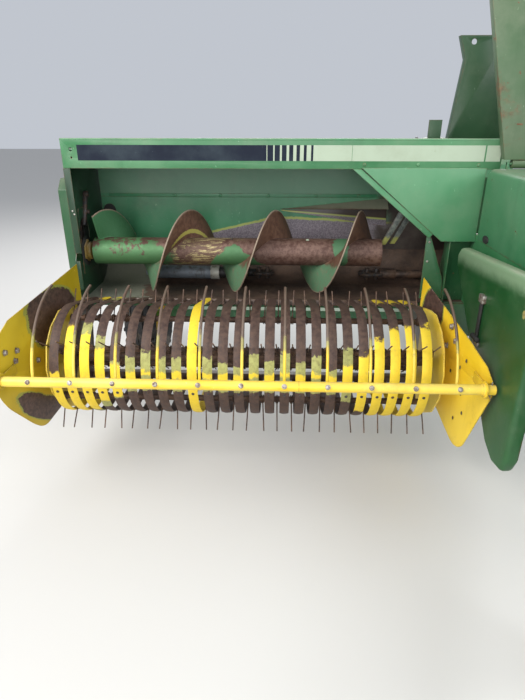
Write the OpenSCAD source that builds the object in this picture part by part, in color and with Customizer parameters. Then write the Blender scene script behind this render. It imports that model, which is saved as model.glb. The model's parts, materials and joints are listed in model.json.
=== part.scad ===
// Small square baler, parked on its jack with the tongue swung to its towing place.
// The front looks along -Y, the bale case stands on the +X side and +Z is up.
// Lengths along Y are first counted from the front face of the top beam.

/* [Auger house] */
// Distance of the end plate beyond the pickup's left side
house_over = 15.6; // [12:0.2:24]
// Height of the top beam's upper edge
beam_z = 1527; // [1500:1:1600]
// Height of the top beam's face
beam_h = 132; // [100:1:160]
// Depth of the top beam from front to back
beam_d = 60; // [40:1:90]
// Thickness of the beam and the frame plates
plate_t = 6; // [4:0.5:8]
// Thickness of the house sheets
sheet_t = 4; // [3:0.5:6]
// Height of the seam between the two back sheets
seam_z = 1225; // [1180:1:1300]
// Front edge of the auger floor
lip_y = 30; // [25:1:60]

/* [Auger] */
// Distance of the auger's axis behind the beam face
auger_y = 140; // [130:1:170]
// Height of the auger's axis
auger_z = 969; // [950:1:1000]
// Outer radius of the flighting
flight_r = 214; // [180:1:222]
// Radius of the auger tube
tube_r = 70; // [55:0.5:85]
// Pitch of the flighting
flight_pitch = 440; // [380:1:500]
// Thickness of the flighting
flight_t = 7; // [5:0.5:10]
// Gap between the flighting and the floor
floor_gap = 15; // [10:1:25]
// Back sheet, behind the beam face
back_y = 470; // [455:1:490]
// Radius of the trough's rear corner
trough_r = 170; // [140:1:200]
// Radius of the auger's shaft
auger_shaft_r = 20; // [15:0.5:25]
// Free end of the auger tube
auger_end_x = 275; // [200:5:300]
// Distance from the end plate to the auger tube
auger_side_gap = 55; // [40:1:80]

/* [Pickup] */
// Number of stripper bands
band_n = 25; // [15:2:25]
// Distance from one band to the next
band_pitch = 66.7; // [60:0.1:68]
// Width of a band
band_w = 42; // [30:1:46]
// Thickness of a band
band_t = 3; // [2:0.5:5]
// Middle of the row of bands
pickup_x = -418; // [-430:1:-410]
// Distance of the reel's axis in front of the beam face
reel_front = 338; // [330:1:360]
// Height of the reel's axis
reel_z = 567; // [550:1:590]
// Outer radius of the bands
band_r = 258; // [240:1:265]
// Radius out to the tips of the tines
tine_tip_r = 343; // [320:1:348]
// Radius of a tine's wire
tine_r = 3; // [2.5:0.5:4]
// Number of tooth bars on the reel
tooth_bars = 4; // [3:1:6]
// Distance of the tooth bars from the reel's axis
tooth_bar_at = 190; // [150:1:205]
// Radius of a tooth bar
tooth_bar_r = 14; // [10:1:20]
// Angle that the lowest row of tines stands at below the front
reel_a = 55; // [0:1:90]
// Radius of the reel's shaft
reel_shaft_r = 22; // [16:1:30]

/* [Windguard] */
// Distance of the windguard tube in front of the beam face
guard_front = 729; // [725:1:760]
// Height of the windguard tube
guard_z = 628; // [600:1:650]
// Radius of the windguard tube
guard_r = 21; // [15:1:24]
// Number of windguard rods
rod_n = 11; // [7:2:11]
// Distance from one rod to the next
rod_pitch = 173; // [150:1:176]
// Radius of a rod
rod_r = 6; // [4:0.5:8]

/* [Bale case] */
// Inner width of the bale chamber
chamber_w = 457; // [400:1:480]
// Inner height of the bale chamber
chamber_h = 356; // [330:1:370]
// Thickness of the chamber walls
wall_t = 6; // [5:0.5:8]
// Outer face of the case on the auger's side
case_x0 = 705; // [700:1:715]
// Floor of the chamber
case_z = 735; // [725:1:738]
// Front end of the case, in front of the beam face
case_front = 900; // [860:5:920]
// Rear end of the case, behind the beam face
case_rear = 2000; // [1950:10:2100]
// Length of the plunger
plunger_l = 500; // [420:10:520]

/* [Wheels] */
// Outer diameter of the tyres
tyre_d = 700; // [660:5:720]
// Width of the tyres
tyre_w = 220; // [190:5:225]
// Diameter of the rims
rim_d = 400; // [360:5:420]
// Distance of the axle behind the beam face
axle_y = 880; // [860:5:900]
// Side of the square axle beam
axle_s = 90; // [70:5:100]
// Radius of the wheel spindles
spindle_r = 30; // [24:1:36]

/* [Tongue] */
// Length from the swing pin to the hitch hole
tongue_l = 2100; // [1900:10:2200]
// Angle of the tongue in its towing place
tongue_a = 18; // [14:1:20]
// Width of the tongue
tongue_w = 110; // [90:5:130]
// Height of the tongue
tongue_h = 90; // [80:5:110]
// Height of the tongue's underside
tongue_z = 395; // [380:5:410]
// Wall of the tongue tube
tongue_wall = 8; // [6:0.5:10]
// Radius of the hitch hole
hitch_r = 16; // [14:0.5:20]
// Radius of the swing pin
swing_r = 25; // [20:1:30]

/* [Hidden] */
$fn = 48;

seat = 0.3;
case_w = chamber_w + 2 * wall_t;
case_x1 = case_x0 + case_w;
case_x = case_x0 + case_w / 2;
case_z0 = case_z - wall_t;
case_z1 = case_z + chamber_h + wall_t;
case_len = case_front + case_rear;

band_x0 = pickup_x - (band_n - 1) / 2 * band_pitch;
band_x1 = pickup_x + (band_n - 1) / 2 * band_pitch;
left_gap = 24;
right_gap = 57;
pickup_left = band_x0 - band_w / 2 - left_gap - plate_t;
pickup_right = band_x1 + band_w / 2 + right_gap;
house_x = pickup_left - house_over;

wheel_z = tyre_d / 2;
wheel_gap = 36;
wheel_left_x = case_x1 + wheel_gap + tyre_w / 2;
wheel_right_x = house_x + tyre_w / 2 + 8;
flare_a = 11;
flare_t = 4;
flare_y0 = -45;
flare_l = 715;

tongue_pin = [case_x - 60, -780];
hitch_over = 45;
hitch_reach = tongue_l * cos(tongue_a) - tongue_pin[1] + hitch_over;
chute_l = 480;
chute_gap = 24;
front_reach = hitch_reach;
rear_reach = case_rear + chute_gap + chute_l;
shift_y = (front_reach - rear_reach) / 2;

floor_z = auger_z - flight_r - floor_gap;
trough_c = [back_y - trough_r, floor_z + trough_r];
house_in = house_x + plate_t;
house_top = beam_z - beam_h;

reel_y = -reel_front;
guard_y = -guard_front;
pivot = [60, 690];
right_reach = seat + flare_l * sin(flare_a) + flare_t * cos(flare_a) - pickup_left;
left_reach = wheel_left_x + tyre_w / 2;
shift_x = (right_reach - left_reach) / 2;

// Sets the whole machine in its frame
module placed() translate([shift_x, shift_y, 0]) children();
// A plate across X with its outline in Y and Z
module yz_plate(x, t) translate([x, 0, 0]) rotate([90, 0, 90]) linear_extrude(t) children();
// A plate across Y with its outline in X and Z
module xz_plate(y, t) translate([0, y + t, 0]) rotate([90, 0, 0]) linear_extrude(t) children();
module bar_x(x0, x1, y, z, r) translate([x0, y, z]) rotate([0, 90, 0]) cylinder(h = x1 - x0, r = r);
module bar_y(y0, y1, x, z, r) translate([x, y0, z]) rotate([-90, 0, 0]) cylinder(h = y1 - y0, r = r);
module box(lo, hi) translate(lo) cube(hi - lo);
function arc(c, r, a0, a1, n) = [for (i = [0:n]) let(a = a0 + (a1 - a0) * i / n)
    [c[0] + r * cos(a), c[1] + r * sin(a)]];

feed_y0 = 64;
window_y = [1600, 1900];
feed_y1 = 350;
feed_z1 = 1060;
needle_r = 430;
needle_w = 14;
needle_depth = 44;
needle_x = [case_x - 130, case_x + 130];
needle_pivot = [520, case_z + chamber_h / 2];
needle_slot_y = needle_pivot[0] + needle_r - 40;
star_y = 1340;
star_r = 150;
star_w = 30;
star_z = case_z1 + 105;

module bale_case() color("forestgreen") placed() difference() {
    box([case_x0, -case_front, case_z0], [case_x1, case_rear, case_z1]);
    box([case_x0 + wall_t, -case_front - 1, case_z], [case_x1 - wall_t, case_rear + 1, case_z1 - wall_t]);
    // feed opening towards the auger
    box([case_x0 - 1, feed_y0, case_z + 4], [case_x0 + wall_t + 1, feed_y1, feed_z1]);
    // side windows of the tension section
    for (x = [case_x0 - 1, case_x1 - wall_t - 1])
        box([x, window_y[0], case_z + 70], [x + wall_t + 2, window_y[1], case_z1 - 76]);
    // slots that the needles rise through
    for (x = needle_x)
        box([x - 20, needle_slot_y - 45, case_z0 - 1], [x + 20, needle_slot_y + 65, case_z1 + 1]);
    // slot of the star wheel
    box([case_x - star_w, star_y - star_r, case_z1 - wall_t - 1],
        [case_x + star_w, star_y + star_r, case_z1 + 1]);
}

rib_t = 8;
rib_d = 30;
rib_y = [1160, 1570, 1930];

module case_frame() color("forestgreen") placed() {
    for (y = rib_y) difference() {
        box([case_x0 - rib_d, y, case_z0 - rib_d], [case_x1 + rib_d, y + rib_t, case_z1 + rib_d]);
        box([case_x0 - seat, y - 1, case_z0 - seat], [case_x1 + seat, y + rib_t + 1, case_z1 + seat]);
    }
    // pins of the needle yoke
    bar_x(needle_arm_x[0] - 6, case_x0 - seat, needle_pivot[0], needle_pivot[1], needle_pin_r);
    bar_x(case_x1 + seat, needle_arm_x[1] + 16, needle_pivot[0], needle_pivot[1], needle_pin_r);
    // stands of the star wheel
    for (x = [case_x - 50, case_x + 42]) difference() {
        yz_plate(x, 8) polygon([[star_y - 70, case_z1 + seat], [star_y + 70, case_z1 + seat], [star_y + 22, star_z + 24],
            [star_y - 22, star_z + 24]]);
        bar_x(x - 1, x + 9, star_y, star_z, star_pin_r + 0.05);
    }
    // lugs and pin of the chute
    for (x = chute_lug_x) yz_plate(x, 8) polygon([[case_rear - 60, case_z0 - rib_d], [chute_pin[0] + 10, case_z0 - 22],
        [chute_pin[0] + 12, case_z0 - seat], [case_rear - 60, case_z0 - seat]]);
    bar_x(chute_lug_x[0], chute_lug_x[1] + 8, chute_pin[0], chute_pin[1], 8);
}

plunger_y = -360;

module plunger() color("dimgray") placed() {
    box([case_x0 + wall_t + 8, plunger_y - plunger_l, case_z + seat],
        [case_x1 - wall_t - 8, plunger_y, case_z1 - wall_t - 8]);
}

gear_y = -case_front - seat;
gear_z = 905;
gear_r = 150;
gear_l = 210;
input_r = 22;
fly_r = 290;
fly_t = 55;
fly_y = gear_y - gear_l - 60 - fly_t;

module gearbox() color("darkgreen") placed() {
    // front plate that closes the case
    difference() {
        box([case_x0 - rib_d, gear_y - 12, case_z0 - rib_d], [case_x1 + rib_d, gear_y, case_z1 + rib_d]);
        bar_y(gear_y - 13, gear_y + 1, case_x, gear_z, gear_r - 30);
    }
    difference() {
        union() {
            bar_y(gear_y - gear_l, gear_y - 12, case_x, gear_z, gear_r);
            bar_y(gear_y - 40, gear_y - 12, case_x, gear_z, gear_r + 30);
            bar_x(case_x - 210, case_x + 210, gear_y - 120, gear_z, 75);
            bar_y(gear_y - gear_l - 35, gear_y - gear_l, case_x, gear_z, 60);
        }
        bar_y(gear_y - gear_l - 36, gear_y - gear_l + 60, case_x, gear_z, input_r + 0.05);
    }
}

module flywheel() color("olivedrab") placed() {
    difference() {
        bar_y(fly_y, fly_y + fly_t, case_x, gear_z, fly_r);
        bar_y(fly_y - 1, fly_y + 18, case_x, gear_z, fly_r - 40);
        for (a = [0:60:300])
            translate([case_x + 160 * cos(a), fly_y - 1, gear_z + 160 * sin(a)]) rotate([-90, 0, 0])
                cylinder(h = fly_t + 2, r = 45);
    }
    bar_y(fly_y - 130, gear_y - gear_l + 50, case_x, gear_z, input_r);
    bar_y(fly_y - 30, fly_y + fly_t + 15, case_x, gear_z, 75);
}

module on_tongue() placed() translate([tongue_pin[0], tongue_pin[1], 0]) rotate([0, 0, -tongue_a]) children();
tongue_top = tongue_z + tongue_h;
jack_at = [150, -700];
jack_r = 38;

module tongue() color("forestgreen") on_tongue() {
    difference() {
        union() {
            box([-tongue_w / 2, -tongue_l + 120, tongue_z], [tongue_w / 2, 60, tongue_top]);
            box([-tongue_w / 2 - 25, -120, tongue_z], [tongue_w / 2 + 25, 60, tongue_top]);
        }
        box([-tongue_w / 2 + tongue_wall, -tongue_l + 119, tongue_z + tongue_wall],
            [tongue_w / 2 - tongue_wall, -130, tongue_top - tongue_wall]);
        translate([0, 0, tongue_z - 1]) cylinder(h = tongue_h + 2, r = swing_r + 0.05);
    }
}

module hitch() color("dimgray") on_tongue() difference() {
    union() {
        for (z = [tongue_z + 8 + seat, tongue_top - 28 - seat]) {
            box([-40, -tongue_l, z], [40, -tongue_l + 300, z + 20]);
            translate([0, -tongue_l, z]) cylinder(h = 20, r = 45);
        }
        box([-40, -tongue_l + 100, tongue_z + 10], [40, -tongue_l + 120 - seat, tongue_top - 10]);
    }
    translate([0, -tongue_l, tongue_z - 1]) cylinder(h = tongue_h + 2, r = hitch_r);
}

module jack() color("firebrick") on_tongue() {
    difference() {
        translate([jack_at[0], jack_at[1], 120]) cylinder(h = 460, r = jack_r);
        translate([jack_at[0], jack_at[1], 119]) cylinder(h = 360, r = jack_r - 6);
    }
    translate([jack_at[0], jack_at[1], 12]) cylinder(h = 400, r = jack_r - 7);
    translate([jack_at[0], jack_at[1], 0]) cylinder(h = 12, r = 85);
    // bracket to the tongue
    difference() {
        box([tongue_w / 2 + seat, jack_at[1] - 40, tongue_z + 10],
            [jack_at[0], jack_at[1] + 40, tongue_top - 10]);
        translate([jack_at[0], jack_at[1], 119]) cylinder(h = 460, r = jack_r - 1);
    }
    // crank
    translate([jack_at[0], jack_at[1], 580]) cylinder(h = 45, r = 10);
    bar_x(jack_at[0] - 230, jack_at[0] + 10, jack_at[1], 615, 9);
}

axle_x0 = wheel_right_x + tyre_w / 2 + 20;
axle_x1 = wheel_left_x - tyre_w / 2 - 12;
wheel_rim_r = rim_d / 2;
hub_l = 70;
stand_y = needle_pivot[0] + needle_r + needle_depth / 2 - 20;

module axle() color("forestgreen") placed() {
    box([axle_x0, axle_y - axle_s / 2, wheel_z - axle_s / 2], [axle_x1, axle_y + axle_s / 2, wheel_z + axle_s / 2]);
    bar_x(axle_x1, wheel_left_x + 20, axle_y, wheel_z, spindle_r);
    bar_x(wheel_right_x - 20, axle_x0, axle_y, wheel_z, spindle_r);
    // stands that carry the bale case
    for (x = [case_x0 + 20, case_x1 - 32])
        yz_plate(x, 12) polygon([[axle_y - axle_s / 2, wheel_z + axle_s / 2], [axle_y + axle_s / 2, wheel_z + axle_s / 2],
            [stand_y + 60, case_z0 - seat], [stand_y, case_z0 - seat]]);
}

// Frame under the front of the case, with the pin that the tongue swings on
module tongue_mount() color("forestgreen") placed() {
    difference() {
        box([tongue_pin[0] - 90, tongue_pin[1] - 60, tongue_top + 6], [tongue_pin[0] + 90, tongue_pin[1] + 60, case_z0 - seat]);
        box([tongue_pin[0] - 80, tongue_pin[1] - 61, tongue_top + 18], [tongue_pin[0] + 80, tongue_pin[1] + 61, case_z0 - 12]);
    }
    translate([tongue_pin[0], tongue_pin[1], tongue_z - 30]) cylinder(h = tongue_h + 50, r = swing_r);
    box([tongue_pin[0] - 60, tongue_pin[1] - 60, tongue_z - 26], [tongue_pin[0] + 60, tongue_pin[1] + 160, tongue_z - 6]);
    box([tongue_pin[0] - 60, tongue_pin[1] + 110, tongue_z - 7], [tongue_pin[0] + 60, tongue_pin[1] + 130, case_z0 - seat]);
}

// Profile of a wheel disc and rim in radius and width, turned round the hub
module rim_profile() {
    w = tyre_w / 2;
    polygon([[spindle_r + 0.05, -hub_l / 2], [55, -hub_l / 2], [60, -10], [wheel_rim_r - 30, -6], [wheel_rim_r - 20, -w + 35],
        [wheel_rim_r - 10, -w + 25], [wheel_rim_r, -w + 25], [wheel_rim_r, -w + 42],
        [wheel_rim_r - 12, -w + 60], [wheel_rim_r - 12, w - 60], [wheel_rim_r, w - 42], [wheel_rim_r, w - 25],
        [wheel_rim_r - 10, w - 25],
        [wheel_rim_r - 22, w - 35], [wheel_rim_r - 32, 4], [60, 4], [55, hub_l / 2], [spindle_r + 0.05, hub_l / 2]]);
}
module tyre_profile() {
    w = tyre_w / 2;
    r = tyre_d / 2;
    polygon([[wheel_rim_r + seat, -w + 30], [wheel_rim_r + 30, -w + 8], [wheel_rim_r + 75, -w], [r - 45, -w + 4],
        [r - 14, -w + 24], [r, -w + 60], [r, w - 60], [r - 14, w - 24], [r - 45, w - 4], [wheel_rim_r + 75, w],
        [wheel_rim_r + 30, w - 8], [wheel_rim_r + seat, w - 30]]);
}
module wheel_at(x) placed() translate([x, axle_y, wheel_z]) rotate([0, 90, 0]) children();
module wheel_left() color("gold") wheel_at(wheel_left_x) rotate_extrude() rim_profile();
module tyre_left() color("#222222") wheel_at(wheel_left_x) rotate_extrude() tyre_profile();
module wheel_right() color("gold") wheel_at(wheel_right_x) rotate_extrude() rim_profile();
module tyre_right() color("#222222") wheel_at(wheel_right_x) rotate_extrude() tyre_profile();

// Slot that the feeder fingers sweep through, under a pressed ledge
slot_x = [-275, 352];
ledge_d = 60;
module back_sheet() color("seagreen") placed() {
    difference() {
        box([house_in + seat, back_y, trough_c[1] + seat], [case_x0 - seat, back_y + sheet_t, seam_z]);
        xz_plate(back_y - 1, sheet_t + 2) {
            polygon([[slot_x[0] + 20, 1134], [slot_x[1], 1143], [slot_x[1] + 6, 1046], [slot_x[0] + 40, 1128]]);
            translate([house_in + 42, 1128]) circle(r = 36);
        }
    }
    polyhedron([[slot_x[0], back_y + 1, 1138], [slot_x[1], back_y + 1, 1204], [slot_x[1], back_y + 1, 1147], [slot_x[1], back_y - ledge_d, 1149]],
        [[0, 2, 1], [0, 1, 3], [0, 3, 2], [1, 2, 3]]);
    box([house_in + seat, back_y - sheet_t, seam_z - 20], [case_x0 - seat, back_y, house_top + 80]);
    // roof sheet
    box([house_in + seat, plate_t + seat, house_top + 80], [case_x0 - seat, back_y + sheet_t, house_top + 80 + sheet_t]);
}

// Trough of the floor, flat at the front and round at the back
module floor_outline() {
    translate([lip_y, floor_z - sheet_t]) square([trough_c[0] - lip_y, sheet_t]);
    intersection() {
        difference() {
            translate(trough_c) circle(r = trough_r + sheet_t, $fn = 96);
            translate(trough_c) circle(r = trough_r, $fn = 96);
        }
        translate([trough_c[0], floor_z - sheet_t]) square(trough_r + sheet_t);
    }
}
module auger_floor() color("saddlebrown") placed() {
    yz_plate(house_in + seat, case_x0 - house_in - 2 * seat) floor_outline();
}

arm_slot = [[150, 1105], [205, 1245]];

module end_plate() color("forestgreen") placed() difference() {
    union() {
        yz_plate(house_x, plate_t) polygon([[0, house_top - seat], [0, 985], [-22, 950], [-22, 780], [60, 620],
            [330, 620], [back_y + 20, 740], [back_y + 20, house_top + 110], [beam_d + 10, house_top + 110],
            [beam_d + 10, house_top - seat]]);
        // front flange
        box([house_x, -plate_t, 985], [house_x + 34, 0, house_top - seat]);
        box([house_in, -22, 800], [house_in + 20, -22 + plate_t, 950]);
        // doubler round the opening
        yz_plate(house_in - 1, 5) polygon([[63, 860], [90, 1192], [225, 1190], [245, 1110], [245, 860]]);
    }
    // opening that the auger floats in
    yz_plate(house_x - 1, plate_t + 6) {
        translate([auger_y, auger_z]) circle(r = 62);
        translate([auger_y - 62, auger_z]) square([124, 110]);
        translate([auger_y, auger_z + 110]) circle(r = 62);
        hull() for (p = arm_slot) translate(p) circle(r = 18);
    }
}

frame_s = 80;
frame_y = 200;
frame_z = 640;

module house_frame() color("forestgreen") placed() {
    // cross tube under the floor
    box([house_in + seat, frame_y, frame_z], [case_x0 - seat, frame_y + frame_s, frame_z + frame_s]);
    // side rail back to the axle
    box([wheel_right_x + tyre_w / 2 + 60, frame_y + frame_s, frame_z], [wheel_right_x + tyre_w / 2 + 60 + frame_s, axle_y + axle_s / 2, frame_z + frame_s]);
    box([wheel_right_x + tyre_w / 2 + 60, axle_y - axle_s / 2, wheel_z + axle_s / 2 + seat],
        [wheel_right_x + tyre_w / 2 + 60 + frame_s, axle_y + axle_s / 2, frame_z]);
    // hangers of the pickup
    for (x = [pickup_left - 8 - seat, pickup_right + plate_t + seat]) {
        difference() {
            yz_plate(x, 8) polygon([[30, 660], [90, 660], [frame_y, 645], [frame_y, 715], [90, 725], [30, 725]]);
            bar_x(x - 1, x + 9, pivot[0], pivot[1], 12.05);
        }
    }
}

module top_beam() color("forestgreen") placed() {
    beam_x1 = case_x0 + 60;
    difference() {
        box([house_x, 0, house_top], [beam_x1, beam_d, beam_z]);
        box([house_x - 1, plate_t, house_top + plate_t], [beam_x1 + 1, beam_d + 1, beam_z - plate_t]);
        for (z = [beam_z - 48, beam_z - 84]) bar_y(-1, plate_t + 1, house_x + 46, z, z > beam_z - 60 ? 9 : 4);
    }
}

gusset_x0 = 128;
gusset_z0 = 1060;
cheek_y = 20;

module gusset_panel() color("mediumseagreen") placed() {
    xz_plate(-sheet_t - seat, sheet_t) polygon([[gusset_x0, house_top + 6], [540, gusset_z0], [case_x0 - seat, gusset_z0],
        [case_x0 - seat, house_top + 6]]);
    // stiffening channel behind the slanted edge
    xz_plate(0, cheek_y - seat) polygon([[gusset_x0 - 40, house_top - seat], [gusset_x0, house_top - seat], [500, gusset_z0 + 35], [480, gusset_z0 + 15]]);
}

side_x = 586;

module side_plate() color("forestgreen") placed() {
    yz_plate(side_x, plate_t) polygon([[4, floor_z + seat + 2], [160, floor_z + seat + 2], [120, 900], [60, gusset_z0], [4, gusset_z0]]);
    xz_plate(56, sheet_t) polygon([[side_x, floor_z + seat + 2], [case_x0 - seat, floor_z + seat + 2], [case_x0 - seat, gusset_z0], [side_x, gusset_z0]]);
    // slanted cheek between the pickup and the feed opening
    xz_plate(cheek_y, sheet_t) polygon([[474, floor_z + 20], [474, 1075], [488, 1100], [578, 869], [side_x + 1, 793], [side_x + 1, floor_z + 20]]);
}

shield_x = 60;

module drive_shield() color("forestgreen") placed() difference() {
    yz_plate(house_x - shield_x - seat, shield_x) polygon([[40, 900], [90, 800], [300, 800], [370, 880], [370, 1290], [330, 1340], [90, 1340], [40, 1290]]);
    yz_plate(house_x - shield_x + sheet_t, shield_x) polygon([[44, 902], [92, 804], [298, 804], [366, 882], [366, 1288], [328, 1336], [92, 1336], [44, 1288]]);
}

module auger_arm() color("darkgreen") placed() {
    difference() {
        union() {
            yz_plate(house_x - 16, 12) hull() {
                translate([auger_y, auger_z]) circle(r = 45);
                translate([220, 1230]) circle(r = 26);
            }
            bar_x(house_x - 40, house_x - 4, auger_y, auger_z, 42);
            bar_x(house_x - 16, house_x - seat, 300, 1230, 12);
            yz_plate(house_x - 16, 12) hull() {
                translate([220, 1230]) circle(r = 20);
                translate([300, 1230]) circle(r = 20);
            }
        }
        bar_x(house_x - 41, house_x + 1, auger_y, auger_z, auger_shaft_r + 0.05);
    }
}

auger_x0 = house_in + auger_side_gap;

module auger_tube() color("peru") placed() {
    bar_x(auger_x0, auger_end_x, auger_y, auger_z, tube_r);
    bar_x(house_x - 38, auger_x0, auger_y, auger_z, auger_shaft_r);
}

// One ribbon swept round the tube, rising towards the free end
flight_crest_x = 157;
flight_start_x = auger_end_x - 8;
flight_stop_x = auger_x0 + 30;
flight_step = 12;
function flight_angle(x) = 90 - (x - flight_crest_x) * 360 / flight_pitch;
module auger_flight() color("sienna") placed() {
    a0 = flight_angle(flight_start_x);
    steps = floor((flight_angle(flight_stop_x) - a0) / flight_step);
    root_r = tube_r + 3 * seat;
    ring = [[root_r, -flight_t / 2], [flight_r, -flight_t / 2], [flight_r, flight_t / 2], [root_r, flight_t / 2]];
    points = [for (i = [0:steps], c = ring) let(a = a0 + i * flight_step)
        [flight_start_x - i * flight_step * flight_pitch / 360 + c[1], auger_y + c[0] * cos(a), auger_z + c[0] * sin(a)]];
    last = steps * 4;
    faces = concat([[0, 1, 2], [0, 2, 3], [last, last + 2, last + 1], [last, last + 3, last + 2]],
        [for (i = [0:steps - 1], k = [0:3], half = [0, 1]) let(p = i * 4 + k, q = i * 4 + (k + 1) % 4)
            half == 0 ? [p, p + 4, q + 4] : [p, q + 4, q]]);
    polyhedron(points, faces, 10);
}

module feeder_fork() color("seagreen") placed() {
    // carrier under the roof
    box([300, 170, house_top + 20], [case_x0 - seat, 230, house_top + 80 - seat]);
    // two swept tines that push the crop on
    for (p = [[auger_end_x + 8, 185], [auger_end_x + 62, 215]])
        xz_plate(p[1], 14) polygon([[p[0], 1000], [p[0] + 26, 1000], [p[0] + 130, 1190], [p[0] + 150, house_top + 20],
            [p[0] + 100, house_top + 20], [p[0] + 96, 1200]]);
}

roof_z = house_top + 80 + sheet_t;
feeder_cap = [500, 200];

// Tall cover plate with turned edges, a brace, a tab and the cap of the feeder's top bearing
module feeder_hood() color("darkgreen") placed() {
    difference() {
        xz_plate(240, 40) polygon([[570, roof_z + seat], [578, 1550], [609, 1866], [575, 1964], [790, 1964], [850, 1550], [850, roof_z + seat]]);
        xz_plate(240 + sheet_t, 40) polygon([[575, roof_z - 1], [583, 1550], [614, 1866], [582, 1960], [786, 1960], [846, 1550], [846, roof_z - 1]]);
        bar_y(239, 250, 640, 1938, 12);
    }
    yz_plate(660, plate_t) polygon([[243, roof_z + seat], [440, roof_z + seat], [243, 1800]]);
    box([441, 96, roof_z + seat], [500, 108, 1606]);
    translate([feeder_cap[0], feeder_cap[1], roof_z + seat]) rotate_extrude()
        polygon(concat([[0, 0], [95, 0]], arc([0, -170], 222, 64.6, 90, 6)));
}

hood_z = 1442;
hood_y = -60;
hood_x0 = case_x0 + 50;
hood_top = 2090;
fold_pin = [hood_y + 20, hood_z - 18];
fold_r = 6;
fold_lug_x = [hood_x0 + 20, case_x1 - 42];

module hood_panel() color("seagreen") placed() {
    difference() {
        xz_plate(hood_y, 40) polygon([[hood_x0, hood_z], [case_x1, hood_z], [case_x1, hood_top], [hood_x0 - 170, hood_top]]);
        xz_plate(hood_y + 4, 40) polygon([[hood_x0 + 4, hood_z + 30], [case_x1 - 4, hood_z + 30], [case_x1 - 4, hood_top - 4],
            [hood_x0 - 164, hood_top - 4]]);
    }
    difference() {
        bar_x(fold_lug_x[0] + 20, fold_lug_x[1] - 12, fold_pin[0], fold_pin[1], 20);
        bar_x(fold_lug_x[0], fold_lug_x[1], fold_pin[0], fold_pin[1], fold_r + 0.05);
    }
}

shield_low = 1060;
upper_y = [-832, -20];
upper_r = 52;
upper_z = 1350;
// Outline of the upper shield in Y and Z, drawn in by a sheet's thickness for its inside
module upper_outline(inset) polygon(concat([[upper_y[1] - inset, shield_low - inset]],
    arc([upper_y[1] - upper_r, upper_z], upper_r - inset, 0, 90, 6), arc([upper_y[0] + upper_r, upper_z], upper_r - inset, 90, 180, 6),
    [[upper_y[0] + inset, shield_low - inset]]));

module upper_shield() color("seagreen") placed() {
    difference() {
        yz_plate(case_x0 - seat - sheet_t, case_w + 2 * (seat + sheet_t)) upper_outline(0);
        yz_plate(case_x0 - seat, case_w + 2 * seat) upper_outline(sheet_t);
        box([case_x0 - seat, upper_y[0] - 1, shield_low - 1], [case_x1 + seat, upper_y[1] + 1, case_z1 + seat]);
    }
    // hinge pin of the hood
    bar_x(fold_lug_x[0], fold_lug_x[1] + 8, fold_pin[0], fold_pin[1], fold_r);
    for (x = fold_lug_x) yz_plate(x, 8) polygon([fold_pin + [-8, -34], fold_pin + [14, -58], fold_pin + [8, 8], fold_pin + [-8, 8]]);
}

// Shield beside the plunger's part of the case, on brackets
shield_x0 = 622;
shield_d = case_x0 - rib_d - seat - shield_x0;
module shield_outline(inset) offset(delta = -inset) polygon([[-60, 1046], [-24, 1010], [-28, 960], [-697, 366], [-790, 330],
    [-880, 345], [-905, 400], [-905, 1095], [-860, 1111]]);

module side_shield() color("seagreen") placed() {
    difference() {
        yz_plate(shield_x0, shield_d) shield_outline(0);
        yz_plate(shield_x0 + sheet_t, shield_d) shield_outline(sheet_t);
    }
    for (y = [-780, -240]) box([shield_x0 + sheet_t - 1, y, 840], [case_x0 - seat, y + 40, 900]);
}

module pickup_frame() color("gold") placed() {
    for (x = [pickup_left, pickup_right]) difference() {
        yz_plate(x, plate_t) polygon([[20, 720], [-20, 735], [-250, 790], [-340, 800], [-450, 760], [-520, 700], [-560, 600],
            [-545, 480], [-470, 370], [-340, 290], [-60, 290], [-20, 320], [60, 650], [92, 660], [92, 715]]);
        bar_x(x - 1, x + plate_t + 1, reel_y, reel_z, reel_shaft_r + 0.05);
        bar_x(x - 1, x + plate_t + 1, pivot[0], pivot[1], 11.9);
    }
    // cross bars behind the bands, one at the lip and one below
    lip_bar = lip_end - lip_n * (band_t + seat);
    yz_plate(pickup_left + plate_t, pickup_right - pickup_left - plate_t)
        polygon([lip_bar, lip_bar + 28 * lip_d, lip_bar + 28 * lip_d - 28 * lip_n, lip_bar - 28 * lip_n]);
    box([pickup_left + plate_t, -66, reel_z - band_r + band_t + seat], [pickup_right, -26, reel_z - band_r + 40]);
    // pins that the pickup swings on
    for (x = [pickup_left - 9, pickup_right]) bar_x(x, x + plate_t + 9, pivot[0], pivot[1], 12);
}

// The left flare stands higher than the right one
left_outline = [[-45, 941], [-600, 842], [-735, 760], [-flare_l - 45, 650], [-745, 580], [-712, 490], [-560, 310], [-500, 262],
    [-330, 300], [-120, 480], [-45, 640]];
right_outline = [[-45, 890], [-130, 863], [-540, 751], [-685, 701], [-flare_l - 45, 640], [-745, 590], [-600, 222], [-576, 213],
    [-500, 250], [-330, 330], [-120, 480], [-45, 640]];
bearing_at = 0.8;
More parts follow.
